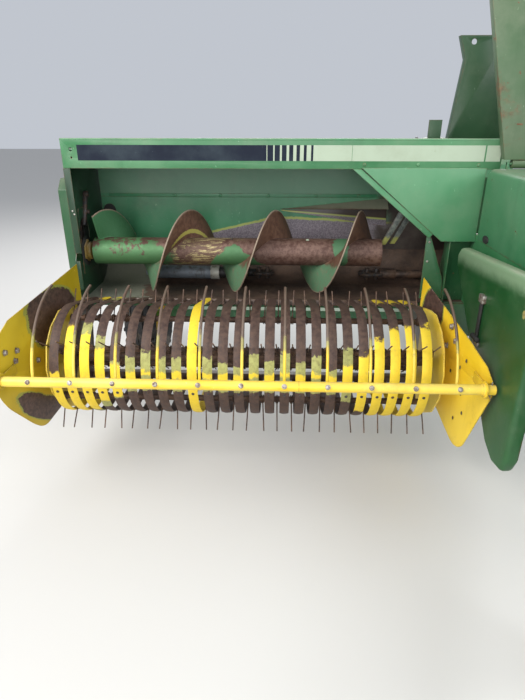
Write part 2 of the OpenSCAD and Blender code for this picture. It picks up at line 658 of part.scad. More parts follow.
// Each flare slants outwards to the front and carries a plate that the windguard turns in
module flare(x, side, outline) {
    out = flare_l * sin(flare_a) * side;
    difference() {
        translate([x, flare_y0, 0]) rotate([0, 0, side * flare_a]) translate([side > 0 ? 0 : -flare_t, -flare_y0, 0])
            yz_plate(0, flare_t) polygon(outline);
        bar_x(x + out - 60, x + out + 60, guard_y, guard_z, guard_r + 5);
    }
    difference() {
        yz_plate(x + out * bearing_at - (side > 0 ? plate_t : 0), plate_t) {
            translate([guard_y, guard_z]) circle(r = guard_r + 14);
            translate([guard_y, guard_z - 22]) square([flare_y0 - bearing_at * flare_l * cos(flare_a) - guard_y + 2, 44]);
        }
        bar_x(x + out - 60, x + out + 60, guard_y, guard_z, guard_r + 0.05);
    }
}
module flare_left() color("gold") placed() flare(pickup_left - seat, -1, left_outline);
module flare_right() color("gold") placed() flare(pickup_right + plate_t + seat, 1, right_outline);

lip_end = [14, 752];
band_tangent = let(d = [lip_end[0] - reel_y, lip_end[1] - reel_z]) atan2(d[1], d[0]) + acos(band_r / norm(d));
band_end_y = -30;
lip_n = [cos(band_tangent), sin(band_tangent)];
lip_d = [-sin(band_tangent), cos(band_tangent)];

// One stripper band seen from the side: round the reel, then back to the lip and to the lower bar
module band_outline() {
    c = [reel_y, reel_z];
    tp = [c[0] + band_r * cos(band_tangent), c[1] + band_r * sin(band_tangent)];
    n = [cos(band_tangent), sin(band_tangent)] * band_t;
    difference() {
        translate(c) circle(r = band_r, $fn = 96);
        translate(c) circle(r = band_r - band_t, $fn = 96);
        polygon([c, [c[0], c[1] - 2 * band_r], [c[0] + 3 * band_r, c[1] - 2 * band_r], c + 6 * (lip_end - c),
            c + 3 * [cos(band_tangent), sin(band_tangent)] * band_r]);
    }
    polygon([tp, tp - n, lip_end - n, lip_end]);
    polygon([[c[0] - 0.01, c[1] - band_r], [c[0] - 0.01, c[1] - band_r + band_t], [band_end_y, c[1] - band_r + band_t],
        [band_end_y, c[1] - band_r]]);
}
module bands() color("goldenrod") placed() for (i = [0:band_n - 1])
    yz_plate(band_x0 + i * band_pitch - band_w / 2, band_w) band_outline();

// Shaft, spiders and tooth bars, with a row of spring tines on each bar
module reel() color("saddlebrown") placed() {
    translate([0, reel_y, reel_z]) union() {
        bar_x(pickup_left - 14, pickup_right + plate_t + 14, 0, 0, reel_shaft_r);
        for (k = [0:tooth_bars - 1]) rotate([k * 360 / tooth_bars + reel_a, 0, 0]) {
            bar_x(band_x0 - 40, band_x1 + 40, -tooth_bar_at, 0, tooth_bar_r);
            for (x = [band_x0, pickup_x, band_x1]) box([x - 4, -tooth_bar_at, -22], [x + 4, 0, 22]);
            for (i = [0:band_n]) translate([band_x0 + (i - 0.5) * band_pitch, 0, 0]) rotate([90, 0, 0])
                translate([0, 0, tooth_bar_at]) cylinder(h = tine_tip_r - tooth_bar_at, r = tine_r);
        }
    }
}

rod_at = norm([guard_y - reel_y, guard_z - reel_z]) - guard_r - rod_r - seat;
rod_x0 = pickup_x + 24 - (rod_n - 1) / 2 * rod_pitch;
rod_a0 = 97;
rod_sweep = 79;

module windguard() color("gold") placed() bar_x(pickup_left - 150, shield_x0 - 10, guard_y, guard_z, guard_r);

// Spring rods bolted to the tube; they run round the reel, outside the circle of the tine tips
module guard_rods() color("gold") placed() for (i = [0:rod_n - 1])
    translate([rod_x0 + i * rod_pitch, reel_y, reel_z]) rotate([90, 0, 90]) rotate([0, 0, rod_a0])
        rotate_extrude(angle = rod_sweep) translate([rod_at, 0]) circle(r = rod_r);

drive_a = -46;
module on_trough(r) translate([0, trough_c[0] + (trough_r - r - seat) * cos(drive_a), trough_c[1] + (trough_r - r - seat) * sin(drive_a)])
    children();

// The two halves of the driveline lie in the back corner of the trough
module driveline() color("dimgray") placed() on_trough(33) {
    bar_x(-880, -560, 0, 0, 27);
    bar_x(-480, -440, 0, 0, 33);
    bar_x(-560, -480, 0, 0, 20);
    difference() {
        bar_x(-440, -360, 0, 0, 33);
        box([-410, -40, -17], [-359, 40, 17]);
    }
    // the half with the yoke
    difference() {
        bar_x(150, 220, 0, 0, 33);
        box([149, -17, -40], [190, 17, 40]);
    }
    bar_x(220, 290, 0, 0, 26);
    bar_x(290, 430, 0, 0, 17);
}

box_x = [130, 640];
box_y = [back_y + 30, back_y + 400];
box_z = [790, 1260];
box_t = 4;
lid_pin = [box_y[0] - 8, box_z[1] + 10];
pin_r = 4;

module twine_box() color("forestgreen") placed() {
    difference() {
        box([box_x[0], box_y[0], box_z[0]], [box_x[1], box_y[1], box_z[1]]);
        box([box_x[0] + box_t, box_y[0] + box_t, box_z[0] + box_t], [box_x[1] - box_t, box_y[1] - box_t, box_z[1] + 1]);
    }
    // bracket to the back sheet, lugs and hinge pin of the lid
    for (x = [box_x[0] + 60, box_x[1] - 68]) box([x, back_y + sheet_t + seat, 900], [x + 8, box_y[0], 1150]);
    for (x = [box_x[0] + 20, box_x[1] - 28])
        yz_plate(x, 8) polygon([[lid_pin[0] - 8, lid_pin[1] - 40], [box_y[0], lid_pin[1] - 60], [box_y[0], lid_pin[1] - 12],
            [lid_pin[0] + 8, lid_pin[1] + 2], [lid_pin[0] + 4, lid_pin[1] + 8], [lid_pin[0] - 8, lid_pin[1] + 8]]);
    bar_x(box_x[0] + 28, box_x[1] - 28, lid_pin[0], lid_pin[1], pin_r);
}

module twine_lid() color("forestgreen") placed() {
    difference() {
        union() {
            box([box_x[0] - 12, box_y[0] + 6, box_z[1] + 4], [box_x[1] + 12, box_y[1] + 12, box_z[1] + 10]);
            bar_x(box_x[0] + 40, box_x[1] - 40, lid_pin[0], lid_pin[1], 8);
            box([box_x[0] + 40, lid_pin[0], box_z[1] + 5], [box_x[1] - 40, box_y[0] + 7, box_z[1] + 10]);
            box([box_x[0] - 12, box_y[1] + 6, box_z[1] - 25], [box_x[1] + 12, box_y[1] + 12, box_z[1] + 10]);
        }
        bar_x(box_x[0], box_x[1], lid_pin[0], lid_pin[1], pin_r + 0.05);
    }
}

knot_y = needle_slot_y + 90;
knot_z = case_z1 + 125;
hood_pin = [knot_y - 174, case_z1 + 60];
knot_x = [case_x0 + 30, case_x1 - 40];

// Uprights, shaft and one knotter over each needle
module knotters() color("dimgray") placed() {
    difference() {
        union() {
            for (x = knot_x) yz_plate(x, 10) polygon([[knot_y - 110, case_z1 + seat], [knot_y + 110, case_z1 + seat],
                [knot_y + 110, case_z1 + 60], [knot_y + 40, knot_z + 40], [knot_y - 40, knot_z + 40], [knot_y - 100, case_z1 + 90],
                [hood_pin[0] - 8, hood_pin[1] + 10], [hood_pin[0] - 8, hood_pin[1] - 10], [knot_y - 110, case_z1 + 40]]);
            bar_x(knot_x[0] - 12, knot_x[1] + 22, knot_y, knot_z, 18);
            for (x = needle_x) {
                bar_x(x + 30, x + 46, knot_y, knot_z, 105);
                bar_x(x - 40, x + 30, knot_y, knot_z, 42);
                box([x - 36, knot_y - 55, knot_z - 84], [x + 24, knot_y, knot_z - 20]);
                bar_x(x - 30, x - 8, knot_y - 60, knot_z - 62, 32);
            }
        }
        for (x = knot_x) bar_x(x - 1, x + 11, hood_pin[0], hood_pin[1], pin_r + 0.9);
    }
    bar_x(knot_x[0], knot_x[1] + 10, hood_pin[0], hood_pin[1], pin_r + 1);
}

hood_h = 250;
hood_l = 330;
hood_t = 3;

module knotter_hood() color("seagreen") placed() difference() {
    union() {
        difference() {
            yz_plate(case_x0 + 10, case_w - 20) polygon([[hood_pin[0] + 4, hood_pin[1]], [hood_pin[0] + 4, hood_pin[1] + hood_h - 50],
                [hood_pin[0] + 60, hood_pin[1] + hood_h], [hood_pin[0] + hood_l - 60, hood_pin[1] + hood_h],
                [hood_pin[0] + hood_l, hood_pin[1] + hood_h - 60], [hood_pin[0] + hood_l, hood_pin[1]]]);
            yz_plate(case_x0 + 10 + hood_t, case_w - 20 - 2 * hood_t) polygon([[hood_pin[0] + 4 + hood_t, hood_pin[1] - 1],
                [hood_pin[0] + 4 + hood_t, hood_pin[1] + hood_h - 51], [hood_pin[0] + 61, hood_pin[1] + hood_h - hood_t],
                [hood_pin[0] + hood_l - 61, hood_pin[1] + hood_h - hood_t], [hood_pin[0] + hood_l - hood_t, hood_pin[1] + hood_h - 61],
                [hood_pin[0] + hood_l - hood_t, hood_pin[1] - 1]]);
        }
        bar_x(knot_x[0] + 16, knot_x[1] - 6, hood_pin[0], hood_pin[1], 8);
    }
    bar_x(knot_x[0], knot_x[1] + 10, hood_pin[0], hood_pin[1], pin_r + 1.05);
    // slots for the uprights that carry the pin
    for (x = knot_x) box([x - 6, hood_pin[0] - 20, hood_pin[1] - 5], [x + 16, hood_pin[0] + 12, hood_pin[1] + 50]);
}

needle_a0 = -87;
needle_a1 = -28;
needle_pin_r = 15;
needle_foot = [needle_pivot[0] + needle_r * cos(needle_a0), needle_pivot[1] + needle_r * sin(needle_a0)];
needle_arm_x = [case_x0 - 17, case_x1 + 7];

// Yoke with two needles bent round its pivot, so that they follow one arc through the case
module needles() color("gold") placed() {
    difference() {
        union() {
            for (x = needle_arm_x) yz_plate(x, 10) {
                translate(needle_pivot) circle(r = 32);
                translate(needle_foot) circle(r = 32);
                polygon([needle_pivot - [24, 0], needle_pivot + [24, 0], needle_foot + [24, 0], needle_foot - [24, 0]]);
            }
            bar_x(needle_arm_x[0], needle_arm_x[1] + 10, needle_foot[0], needle_foot[1], 24);
        }
        bar_x(needle_arm_x[0] - 1, needle_arm_x[1] + 11, needle_pivot[0], needle_pivot[1], needle_pin_r + 0.05);
    }
    for (x = needle_x) yz_plate(x - needle_w / 2, needle_w) intersection() {
        difference() {
            translate(needle_pivot) circle(r = needle_r + needle_depth / 2, $fn = 96);
            translate(needle_pivot) circle(r = needle_r - needle_depth / 2, $fn = 96);
        }
        polygon([needle_pivot, for (a = [needle_a0 + 3, (needle_a0 + needle_a1) / 2, needle_a1])
            needle_pivot + 2 * needle_r * [cos(a), sin(a)]]);
    }
}

screw_y = 1850;
screw_h = 300;

module tension_screws() color("gray") placed() for (x = [case_x0 + 70, case_x1 - 70]) {
    translate([x, screw_y, case_z1 + seat]) cylinder(h = screw_h, r = 12);
    translate([x, screw_y, case_z1 + 40]) cylinder(h = 150, r = 26);
    translate([x, screw_y, case_z1 + 190]) cylinder(h = 10, r = 34);
    box([x - 10, screw_y - 120, case_z1 + screw_h - 16], [x + 10, screw_y + 10, case_z1 + screw_h - 4]);
    translate([x, screw_y - 110, case_z1 + screw_h - 10]) cylinder(h = 110, r = 11);
}

star_pin_r = 10;
star_teeth = 12;

module star_wheel() color("gray") placed() {
    yz_plate(case_x - 5, 10) translate([star_y, star_z]) polygon([for (i = [0:star_teeth - 1], k = [0, 1])
        let(a = (i + k * 0.5) * 360 / star_teeth, r = k == 0 ? star_r : star_r - 34) r * [cos(a), sin(a)]]);
    bar_x(case_x - 60, case_x + 60, star_y, star_z, star_pin_r);
    bar_x(case_x - 30, case_x + 30, star_y, star_z, 24);
}

chute_pin = [case_rear + chute_gap, case_z0 - 8];
chute_lug_x = [case_x0 + 70, case_x1 - 78];

module chute() color("forestgreen") placed() difference() {
    union() {
        box([case_x0 - 14, chute_pin[0] + 4, case_z0], [case_x1 + 14, chute_pin[0] + chute_l, case_z]);
        for (x = [case_x0 - 14, case_x1 + 10]) yz_plate(x, 4) polygon([[chute_pin[0] + 60, case_z], [chute_pin[0] + chute_l, case_z],
            [chute_pin[0] + chute_l, case_z + 110], [chute_pin[0] + chute_l - 60, case_z + 110]]);
        bar_x(chute_lug_x[0] + 10, chute_lug_x[1] - 2, chute_pin[0], chute_pin[1], 12);
    }
    bar_x(case_x0, case_x1, chute_pin[0], chute_pin[1], 8.05);
    // notches that clear the lugs
    for (x = chute_lug_x) box([x - 3, chute_pin[0] + 3, case_z0 - 1], [x + 11, chute_pin[0] + 30, case_z + 1]);
}

bale_case();
case_frame();
plunger();
gearbox();
flywheel();
tongue();
hitch();
jack();
tongue_mount();
axle();
wheel_left();
tyre_left();
wheel_right();
tyre_right();
back_sheet();
auger_floor();
end_plate();
house_frame();
top_beam();
gusset_panel();
side_plate();
drive_shield();
auger_arm();
auger_tube();
auger_flight();
feeder_fork();
feeder_hood();
hood_panel();
upper_shield();
side_shield();
pickup_frame();
flare_left();
flare_right();
bands();
reel();
windguard();
guard_rods();
driveline();
twine_box();
twine_lid();
knotters();
knotter_hood();
needles();
tension_screws();
star_wheel();
chute();
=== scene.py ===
# Small square baler, dressed for its picture: worn farm paint, rust, bolts, seams and tyre tread
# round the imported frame. The front looks along -Y and the bale case stands on the +X side.
import bpy, bmesh, json, math
from contextlib import contextmanager
from mathutils import Matrix, Vector

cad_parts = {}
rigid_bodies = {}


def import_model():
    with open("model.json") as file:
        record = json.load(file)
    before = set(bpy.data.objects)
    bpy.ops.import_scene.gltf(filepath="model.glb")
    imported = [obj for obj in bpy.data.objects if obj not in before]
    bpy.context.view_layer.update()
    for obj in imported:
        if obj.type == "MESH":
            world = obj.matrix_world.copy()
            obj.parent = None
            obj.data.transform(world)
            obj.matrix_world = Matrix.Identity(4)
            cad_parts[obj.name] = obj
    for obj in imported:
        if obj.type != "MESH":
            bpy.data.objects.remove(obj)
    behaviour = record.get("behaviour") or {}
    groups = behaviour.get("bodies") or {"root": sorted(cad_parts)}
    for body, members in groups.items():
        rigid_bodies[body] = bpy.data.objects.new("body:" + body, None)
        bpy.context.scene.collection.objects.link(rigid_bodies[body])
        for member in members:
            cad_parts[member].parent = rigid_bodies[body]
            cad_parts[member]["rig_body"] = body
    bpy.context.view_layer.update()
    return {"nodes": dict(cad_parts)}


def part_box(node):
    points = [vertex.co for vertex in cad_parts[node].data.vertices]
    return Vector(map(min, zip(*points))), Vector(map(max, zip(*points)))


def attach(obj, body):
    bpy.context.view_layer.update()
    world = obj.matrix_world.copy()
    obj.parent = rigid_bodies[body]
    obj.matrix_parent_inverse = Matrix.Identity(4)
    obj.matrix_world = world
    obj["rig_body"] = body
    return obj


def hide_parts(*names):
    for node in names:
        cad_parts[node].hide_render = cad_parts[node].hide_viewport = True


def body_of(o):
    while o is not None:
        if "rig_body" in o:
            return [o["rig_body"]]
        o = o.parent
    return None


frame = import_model()

# --- Camera, floor and light ---
# The camera stands where the photographer stood: in front of the pickup at head height, looking
# down on the bands. The floor is plain and pale, and big soft lamps stand in for an open shed.
camera_data = bpy.data.cameras.new("camera")
camera_data.sensor_width = 36
camera_data.lens = 26.8
camera = bpy.data.objects.new("camera", camera_data)
bpy.context.scene.collection.objects.link(camera)
camera.location = (-0.250, -2.425, 1.609)
camera.rotation_euler = (math.radians(66.1), 0, math.radians(2.11))
bpy.context.scene.camera = camera

bpy.ops.mesh.primitive_plane_add(size=60, location=(0, 0, 0))
floor = bpy.context.object
floor.name = "studio_floor"
floor_paint = bpy.data.materials.new("studio_floor_paint")
floor_paint.use_nodes = True
floor_shader = floor_paint.node_tree.nodes["Principled BSDF"]
floor_shader.inputs["Base Color"].default_value = (0.55, 0.54, 0.52, 1)
floor_shader.inputs["Roughness"].default_value = 0.85
floor.data.materials.append(floor_paint)

world = bpy.data.worlds.new("studio")
world.use_nodes = True
world.node_tree.nodes["Background"].inputs["Color"].default_value = (0.86, 0.91, 1.0, 1)
world.node_tree.nodes["Background"].inputs["Strength"].default_value = 0.62
bpy.context.scene.world = world
bpy.context.scene.view_settings.view_transform = "Standard"
bpy.context.scene.view_settings.look = "None"

for name, place, aim, size, watts, colour in (
        ("sky_left", (-4.0, -3.5, 4.6), (0, 0, 0.8), (4.0, 3.0), 420, (1.0, 0.98, 0.94)),
        ("sky_front", (-0.6, -5.0, 2.0), (-0.3, 0.2, 0.9), (3.5, 2.0), 95, (1.0, 0.99, 0.97)),
        ("sky_right", (4.5, -2.5, 4.2), (0, 0, 0.8), (3.5, 3.0), 240, (0.95, 0.98, 1.0)),
        ("sky_behind", (0.5, 5.5, 4.8), (0, 0, 1.0), (5.0, 3.0), 380, (1.0, 1.0, 1.0))):
    lamp_data = bpy.data.lights.new(name, "AREA")
    lamp_data.shape = "RECTANGLE"
    lamp_data.size, lamp_data.size_y = size
    lamp_data.energy = watts
    lamp_data.color = colour
    lamp = bpy.data.objects.new(name, lamp_data)
    lamp.location = place
    lamp.rotation_euler = (Vector(aim) - Vector(place)).to_track_quat("-Z", "Y").to_euler()
    bpy.context.scene.collection.objects.link(lamp)

# --- Paint ---
# Every sheet of the machine was sprayed over bare steel and has stood out in the weather: it has
# faded on top, holds dust and chaff, and rusts through at its edges and in scattered chips.


class Value:
    """A number or colour that a finish works out at each point; sums of it add maths nodes."""

    def __init__(self, look, socket):
        self.look, self.socket = look, socket

    def __add__(self, other):
        return self.look.maths("ADD", self, other)

    def __sub__(self, other):
        return self.look.maths("SUBTRACT", self, other)

    def __rsub__(self, other):
        return self.look.maths("SUBTRACT", other, self)

    def __mul__(self, other):
        return self.look.maths("MULTIPLY", self, other)

    def __truediv__(self, other):
        return self.look.maths("DIVIDE", self, other)

    def __pow__(self, other):
        return self.look.maths("POWER", self, other)

    def __abs__(self):
        return self.look.maths("ABSOLUTE", self)


class Look:
    """A finish in the making: its material, its shader and the place on the piece."""

    def __init__(self, name, metal=0.0):
        self.material = bpy.data.materials.new(name)
        self.material.use_nodes = True
        self.tree = self.material.node_tree
        self.shader = self.tree.nodes["Principled BSDF"].inputs
        self.shader["Metallic"].default_value = metal
        self.place = self.node("ShaderNodeTexCoord", "Object")

    def feed(self, socket, value):
        """Links a socket to a value, or sets it to a plain number, vector or colour."""
        if isinstance(value, Value):
            self.tree.links.new(value.socket, socket)
        else:
            socket.default_value = value

    def node(self, kind, output, inputs=(), **settings):
        """Adds a node with its settings, feeds its inputs, and returns one of its outputs."""
        node = self.tree.nodes.new(kind)
        for name, setting in settings.items():
            setattr(node, name, setting)
        for socket, value in dict(inputs).items():
            self.feed(node.inputs[socket], value)
        return Value(self, node.outputs[output])

    def maths(self, operation, *values, clamp=False):
        """One sum of values and plain numbers."""
        return self.node("ShaderNodeMath", 0, enumerate(values), operation=operation, use_clamp=clamp)

    def clamped(self, operation, *values):
        """A sum or product that stays between 0 and 1."""
        return self.maths(operation, *values, clamp=True)

    def vector(self, operation, output, *values):
        return self.node("ShaderNodeVectorMath", output, enumerate(values), operation=operation)

    def axis(self, name, vector=None):
        """One of the X, Y and Z parts of a vector, or else of the place."""
        return self.node("ShaderNodeSeparateXYZ", name, {"Vector": vector or self.place})

    def noise(self, scale, detail=6.0, rough=0.6, distort=0.0, stretch=None):
        """Cloudy noise; stretch sets its scale along each axis."""
        place = self.place
        if stretch:
            place = self.node("ShaderNodeMapping", "Vector", {"Vector": place, "Scale": stretch})
        return self.node("ShaderNodeTexNoise", "Fac", {
            "Vector": place, "Scale": scale, "Detail": detail, "Roughness": rough, "Distortion": distort})

    def ramp(self, value, low, high, out_low=0.0, out_high=1.0):
        """Carries a value smoothly from out_low at low to out_high at high."""
        ends = {"Value": value, "From Min": low, "From Max": high, "To Min": out_low, "To Max": out_high}
        return self.node("ShaderNodeMapRange", "Result", ends, interpolation_type="SMOOTHSTEP")

    def blend(self, amount, under, over):
        """Mixes two colours, each a value or a plain one."""
        under, over = [(*tone, 1) if isinstance(tone, tuple) else tone for tone in (under, over)]
        inputs = {"Factor": amount, "A": under, "B": over}
        return self.node("ShaderNodeMix", "Result", inputs, data_type="RGBA")

    def lay(self, under, over, value, low, high, most=1.0):
        """Lays a colour over another as a value goes from low to high; most is its full share."""
        return self.blend(self.ramp(value, low, high, 0.0, most), under, over)

    def done(self, colour, roughness=None, height=None, strength=0.3, distance=0.001):
        """Gives the shader its colour, roughness and bumps, and returns the material."""
        self.feed(self.shader["Base Color"], colour)
        if roughness:
            self.feed(self.shader["Roughness"], roughness)
        if height:
            bump = {"Strength": strength, "Distance": distance, "Height": height}
            self.feed(self.shader["Normal"], self.node("ShaderNodeBump", "Normal", bump))
        return self.material


def field_paint(name, fresh, faded, rust=0.5, dust=0.5, gloss=0.38, edge=0.006, wear=None):
    """Farm paint: two tones that drift, rain streaks, dust on top faces, rust chips and worn edges.
    wear adds the marks of one piece: it gets the look and its colour, and returns a colour."""
    look = Look(name)
    normal = look.node("ShaderNodeNewGeometry", "Normal")
    broad = look.noise(1.7, 4.0)
    colour = look.lay(fresh, faded, broad, 0.36, 0.66)
    streaks = look.noise(9.0, 5.0, 0.65, stretch=(1, 1, 0.12))
    colour = look.lay(colour, tuple(c * 0.62 for c in fresh), streaks, 0.5, 0.8, 0.5)
    lying = look.ramp(look.noise(11.0, 7.0, 0.7), 0.3, 0.72, 0.25, 1.0)
    top_faces = look.ramp(look.axis("Z", normal), 0.25, 0.95)
    dusty = look.clamped("MULTIPLY", look.clamped("MULTIPLY", lying, top_faces), dust)
    flecks = look.noise(85.0, 3.0, 0.55, stretch=(1, 1, 0.45))
    colour = look.lay(colour, tuple(min(1.0, c * 1.5 + 0.10) for c in faded), flecks, 0.70, 0.74, 0.55)
    grime = look.noise(2.6, 9.0, 0.75, 0.5)
    colour = look.lay(colour, tuple(c * 0.45 + 0.012 for c in fresh), grime, 0.56, 0.72, 0.45)
    if wear:
        colour = wear(look, colour)
    colour = look.lay(colour, (0.36, 0.34, 0.27), look.noise(4.3, 8.0, 0.7), 0.42, 0.8, 0.3 * dust)
    colour = look.blend(dusty, colour, (0.34, 0.30, 0.22))
    rounding = look.node("ShaderNodeBevel", "Normal", {"Radius": edge}, samples=4)
    edges = look.ramp(look.vector("DOT_PRODUCT", "Value", rounding, normal), 0.985, 0.9)
    chips = look.noise(23.0, 9.0, 0.72, 0.4)
    at_edges = look.clamped("MULTIPLY", edges, look.ramp(chips, 0.4, 0.62))
    at_edges = look.clamped("MULTIPLY", at_edges, min(1.0, 0.5 + rust))
    in_chips = look.ramp(chips, 0.74 - 0.12 * rust, 0.78 - 0.12 * rust)
    in_patches = look.ramp(look.noise(3.1, 7.0, 0.68, 0.6), 0.80 - 0.22 * rust, 0.88 - 0.22 * rust)
    in_patches = look.clamped("MULTIPLY", in_patches, look.ramp(chips, 0.35, 0.5))
    rusted = look.clamped("ADD", look.clamped("ADD", at_edges, in_chips), in_patches)
    grain = look.noise(60.0, 5.0, 0.7)
    rust_tone = look.lay((0.075, 0.030, 0.018), (0.21, 0.085, 0.040), grain, 0.3, 0.7)
    colour = look.blend(rusted, colour, rust_tone)
    dull = look.clamped("ADD", look.ramp(broad, 0.3, 0.7, gloss - 0.06, gloss + 0.1),
                        look.clamped("MULTIPLY", look.clamped("ADD", rusted, dusty), 0.45))
    return look.done(colour, dull, look.clamped("MULTIPLY", grain, rusted), 0.35, 0.0015)


def dress(material, *names):
    for name in names:
        for slot in frame["nodes"][name].material_slots:
            slot.material = material


green_paint = field_paint("green_paint", (0.030, 0.150, 0.056), (0.075, 0.215, 0.100), rust=0.5, dust=0.5)
# A lighter copy of the farm green stands in for faces in full light: painted light.
light_green_paint = field_paint("light_green_paint", (0.050, 0.200, 0.088), (0.098, 0.250, 0.130),
                                rust=0.4, dust=0.5)
# A darker copy of the farm green stands in for faces in shade: painted shade.
shade_green_paint = field_paint("shade_green_paint", (0.018, 0.082, 0.028), (0.034, 0.110, 0.042),
                                rust=0.4, dust=0.35)
yellow_paint = field_paint("yellow_paint", (0.78, 0.52, 0.025), (0.84, 0.64, 0.10), rust=0.42, dust=0.3)
dress(yellow_paint, "wheel_left", "wheel_right", "windguard")

# --- Small pieces ---
# Bolts, rivets and pins are plain zinc or black steel. Each is shaped once, and its copies are
# joined to one mesh for each row. The steps that every piece is made with start here as well.


def clear():
    if bpy.context.object and bpy.context.object.mode == "EDIT":
        bpy.ops.object.mode_set(mode="OBJECT")
    bpy.ops.object.select_all(action="DESELECT")


def added(primitive, **settings):
    """Adds one of Blender's plain meshes and returns it."""
    clear()
    primitive(**settings)
    return bpy.context.object


def apply(piece, *modifiers):
    """Fixes a piece's place, turn and scale in its mesh, and then its modifiers."""
    clear()
    piece.select_set(True)
    bpy.context.view_layer.objects.active = piece
    bpy.ops.object.transform_apply(location=True, rotation=True, scale=True)
    for modifier in modifiers:
        bpy.ops.object.modifier_apply(modifier=modifier.name)
    return piece


@contextmanager
def editing(select="SELECT"):
    """Opens the active piece for work on its mesh, with all, none or the last choice selected."""
    bpy.ops.object.mode_set(mode="EDIT")
    if select:
        bpy.ops.mesh.select_all(action=select)
    yield
    bpy.ops.object.mode_set(mode="OBJECT")


def finish(piece, name, material, body="machine", stands_for=(), smooth=35):
    """Sets a finished piece in the frame: its name, finish and the body that carries it."""
    apply(piece)
    bpy.ops.object.shade_smooth_by_angle(angle=math.radians(smooth))
    piece.name = piece.data.name = name
    piece.data.materials.clear()
    piece.data.materials.append(material)
    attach(piece, body)
    if stands_for:
        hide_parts(*stands_for)
    return piece


def rounded(piece, width, segments=2, angle=30):
    bevel = piece.modifiers.new("rounding", "BEVEL")
    bevel.width = width
    bevel.segments = segments
    bevel.limit_method = "ANGLE"
    bevel.angle_limit = math.radians(angle)
    return apply(piece, bevel)


def block(low, high, rounding=0.002):
    """A cut bar or plate with eased edges."""
    piece = added(bpy.ops.mesh.primitive_cube_add, size=1, location=[(a + b) / 2 for a, b in zip(low, high)])
    piece.scale = [b - a for a, b in zip(low, high)]
    apply(piece)
    return rounded(piece, rounding) if rounding else piece


def turned(start, end, radius, sides=24, rounding=0.0):
    """A bar or tube turned on a lathe, from start to end."""
    start, end = Vector(start), Vector(end)
    piece = added(bpy.ops.mesh.primitive_cylinder_add, vertices=sides, radius=radius,
                  depth=(end - start).length, location=(start + end) / 2)
    piece.rotation_euler = (end - start).to_track_quat("Z", "Y").to_euler()
    apply(piece)
    return rounded(piece, rounding) if rounding else piece


def bar(start, axis, length, radius, sides=24, rounding=0.0):
    """A turned bar that runs a length along one of the three axes."""
    end = list(start)
    end["XYZ".index(axis)] += length
    return turned(start, end, radius, sides, rounding)


def joined(pieces):
    clear()
    for piece in pieces:
        piece.select_set(True)
    bpy.context.view_layer.objects.active = pieces[0]
    if len(pieces) > 1:
        bpy.ops.object.join()
    return bpy.context.view_layer.objects.active


def copies_of(pattern, moves):
    """One mesh with a copy of the pattern piece for each move; the pattern itself goes."""
    copies = []
    for move in moves:
        copy = bpy.data.objects.new("copy", pattern.data.copy())
        copy.data.transform(move)
        bpy.context.scene.collection.objects.link(copy)
        copies.append(copy)
    bpy.data.objects.remove(pattern)
    return joined(copies)


def row_of(pattern, places, along=(0, 0, 1)):
    """Copies of a pattern piece, which stands at the origin along +Z, turned at each place."""
    turn = Vector((0, 0, 1)).rotation_difference(Vector(along)).to_matrix().to_4x4()
    return copies_of(pattern, [Matrix.Translation(place) @ turn for place in places])


def ring_of(pattern, centre, axis, count, first=0.0):
    """Copies of a pattern piece, spread evenly round an axis through a centre."""
    there, back = Matrix.Translation(Vector(centre)), Matrix.Translation(-Vector(centre))
    angles = [first + k * 2 * math.pi / count for k in range(count)]
    return copies_of(pattern, [there @ Matrix.Rotation(angle, 4, axis) @ back for angle in angles])


def copy_of(plain):
    """A free copy of a plain piece, left open for editing with its doubled points merged."""
    clear()
    piece = plain.copy()
    piece.data = plain.data.copy()
    bpy.context.scene.collection.objects.link(piece)
    piece.parent = None
    piece.matrix_world = plain.matrix_world.copy()
    apply(piece)
    bpy.ops.object.mode_set(mode="EDIT")
    bpy.ops.mesh.select_all(action="SELECT")
    bpy.ops.mesh.remove_doubles(threshold=0.00005)
    return piece


def eased(node, name, material, width=0.003, segments=2, angle=25, smooth=30, corners=()):
    """A sheet or bar with the rounded edges of a folded, rolled or sawn part: a copy of the plain
    piece has its flat faces cleared of lines and its edges rounded. corners are the heights
    between which edges of a given length get a radius; radius 0 draws them to a point."""
    plain = frame["nodes"][node]
    piece = copy_of(plain)
    bpy.ops.mesh.dissolve_limited(angle_limit=math.radians(0.5))
    bpy.ops.object.mode_set(mode="OBJECT")
    for low, high, radius, length in corners:
        with editing("DESELECT"):
            bpy.ops.mesh.select_mode(type="EDGE")
        shape = bmesh.new()
        shape.from_mesh(piece.data)
        for edge in shape.edges:
            middle = (edge.verts[0].co + edge.verts[1].co) / 2
            fits = abs(edge.calc_length() - length) < 0.0004 and edge.calc_face_angle(0) > 0.05
            if low < middle.z < high and fits:
                edge.select_set(True)
        shape.to_mesh(piece.data)
        shape.free()
        with editing(None):
            if radius:
                bpy.ops.mesh.bevel(offset=radius, segments=7, affect="EDGES", clamp_overlap=True)
            else:
                bpy.ops.mesh.merge(type="COLLAPSE")
            bpy.ops.mesh.select_mode(type="VERT")
    rounded(piece, width, segments, angle)
    return finish(piece, name, material, body_of(plain)[0], (node,), smooth=smooth)


def coil(centre, radius, wire, sides=12):
    """A ring of wire round the X axis."""
    return apply(added(bpy.ops.mesh.primitive_torus_add, major_radius=radius, minor_radius=wire,
                       major_segments=sides, minor_segments=6, location=centre, rotation=(0, math.pi / 2, 0)))


def hex_bolt(size):
    """A hexagon head on a washer, seated on the plane Z = 0; size is its head's width."""
    washer = turned((0, 0, -0.0005), (0, 0, 0.12 * size), 0.72 * size, 16, 0.0008)
    head = turned((0, 0, 0.1 * size), (0, 0, 0.62 * size), 0.58 * size, 6, 0.05 * size)
    return joined([washer, head])


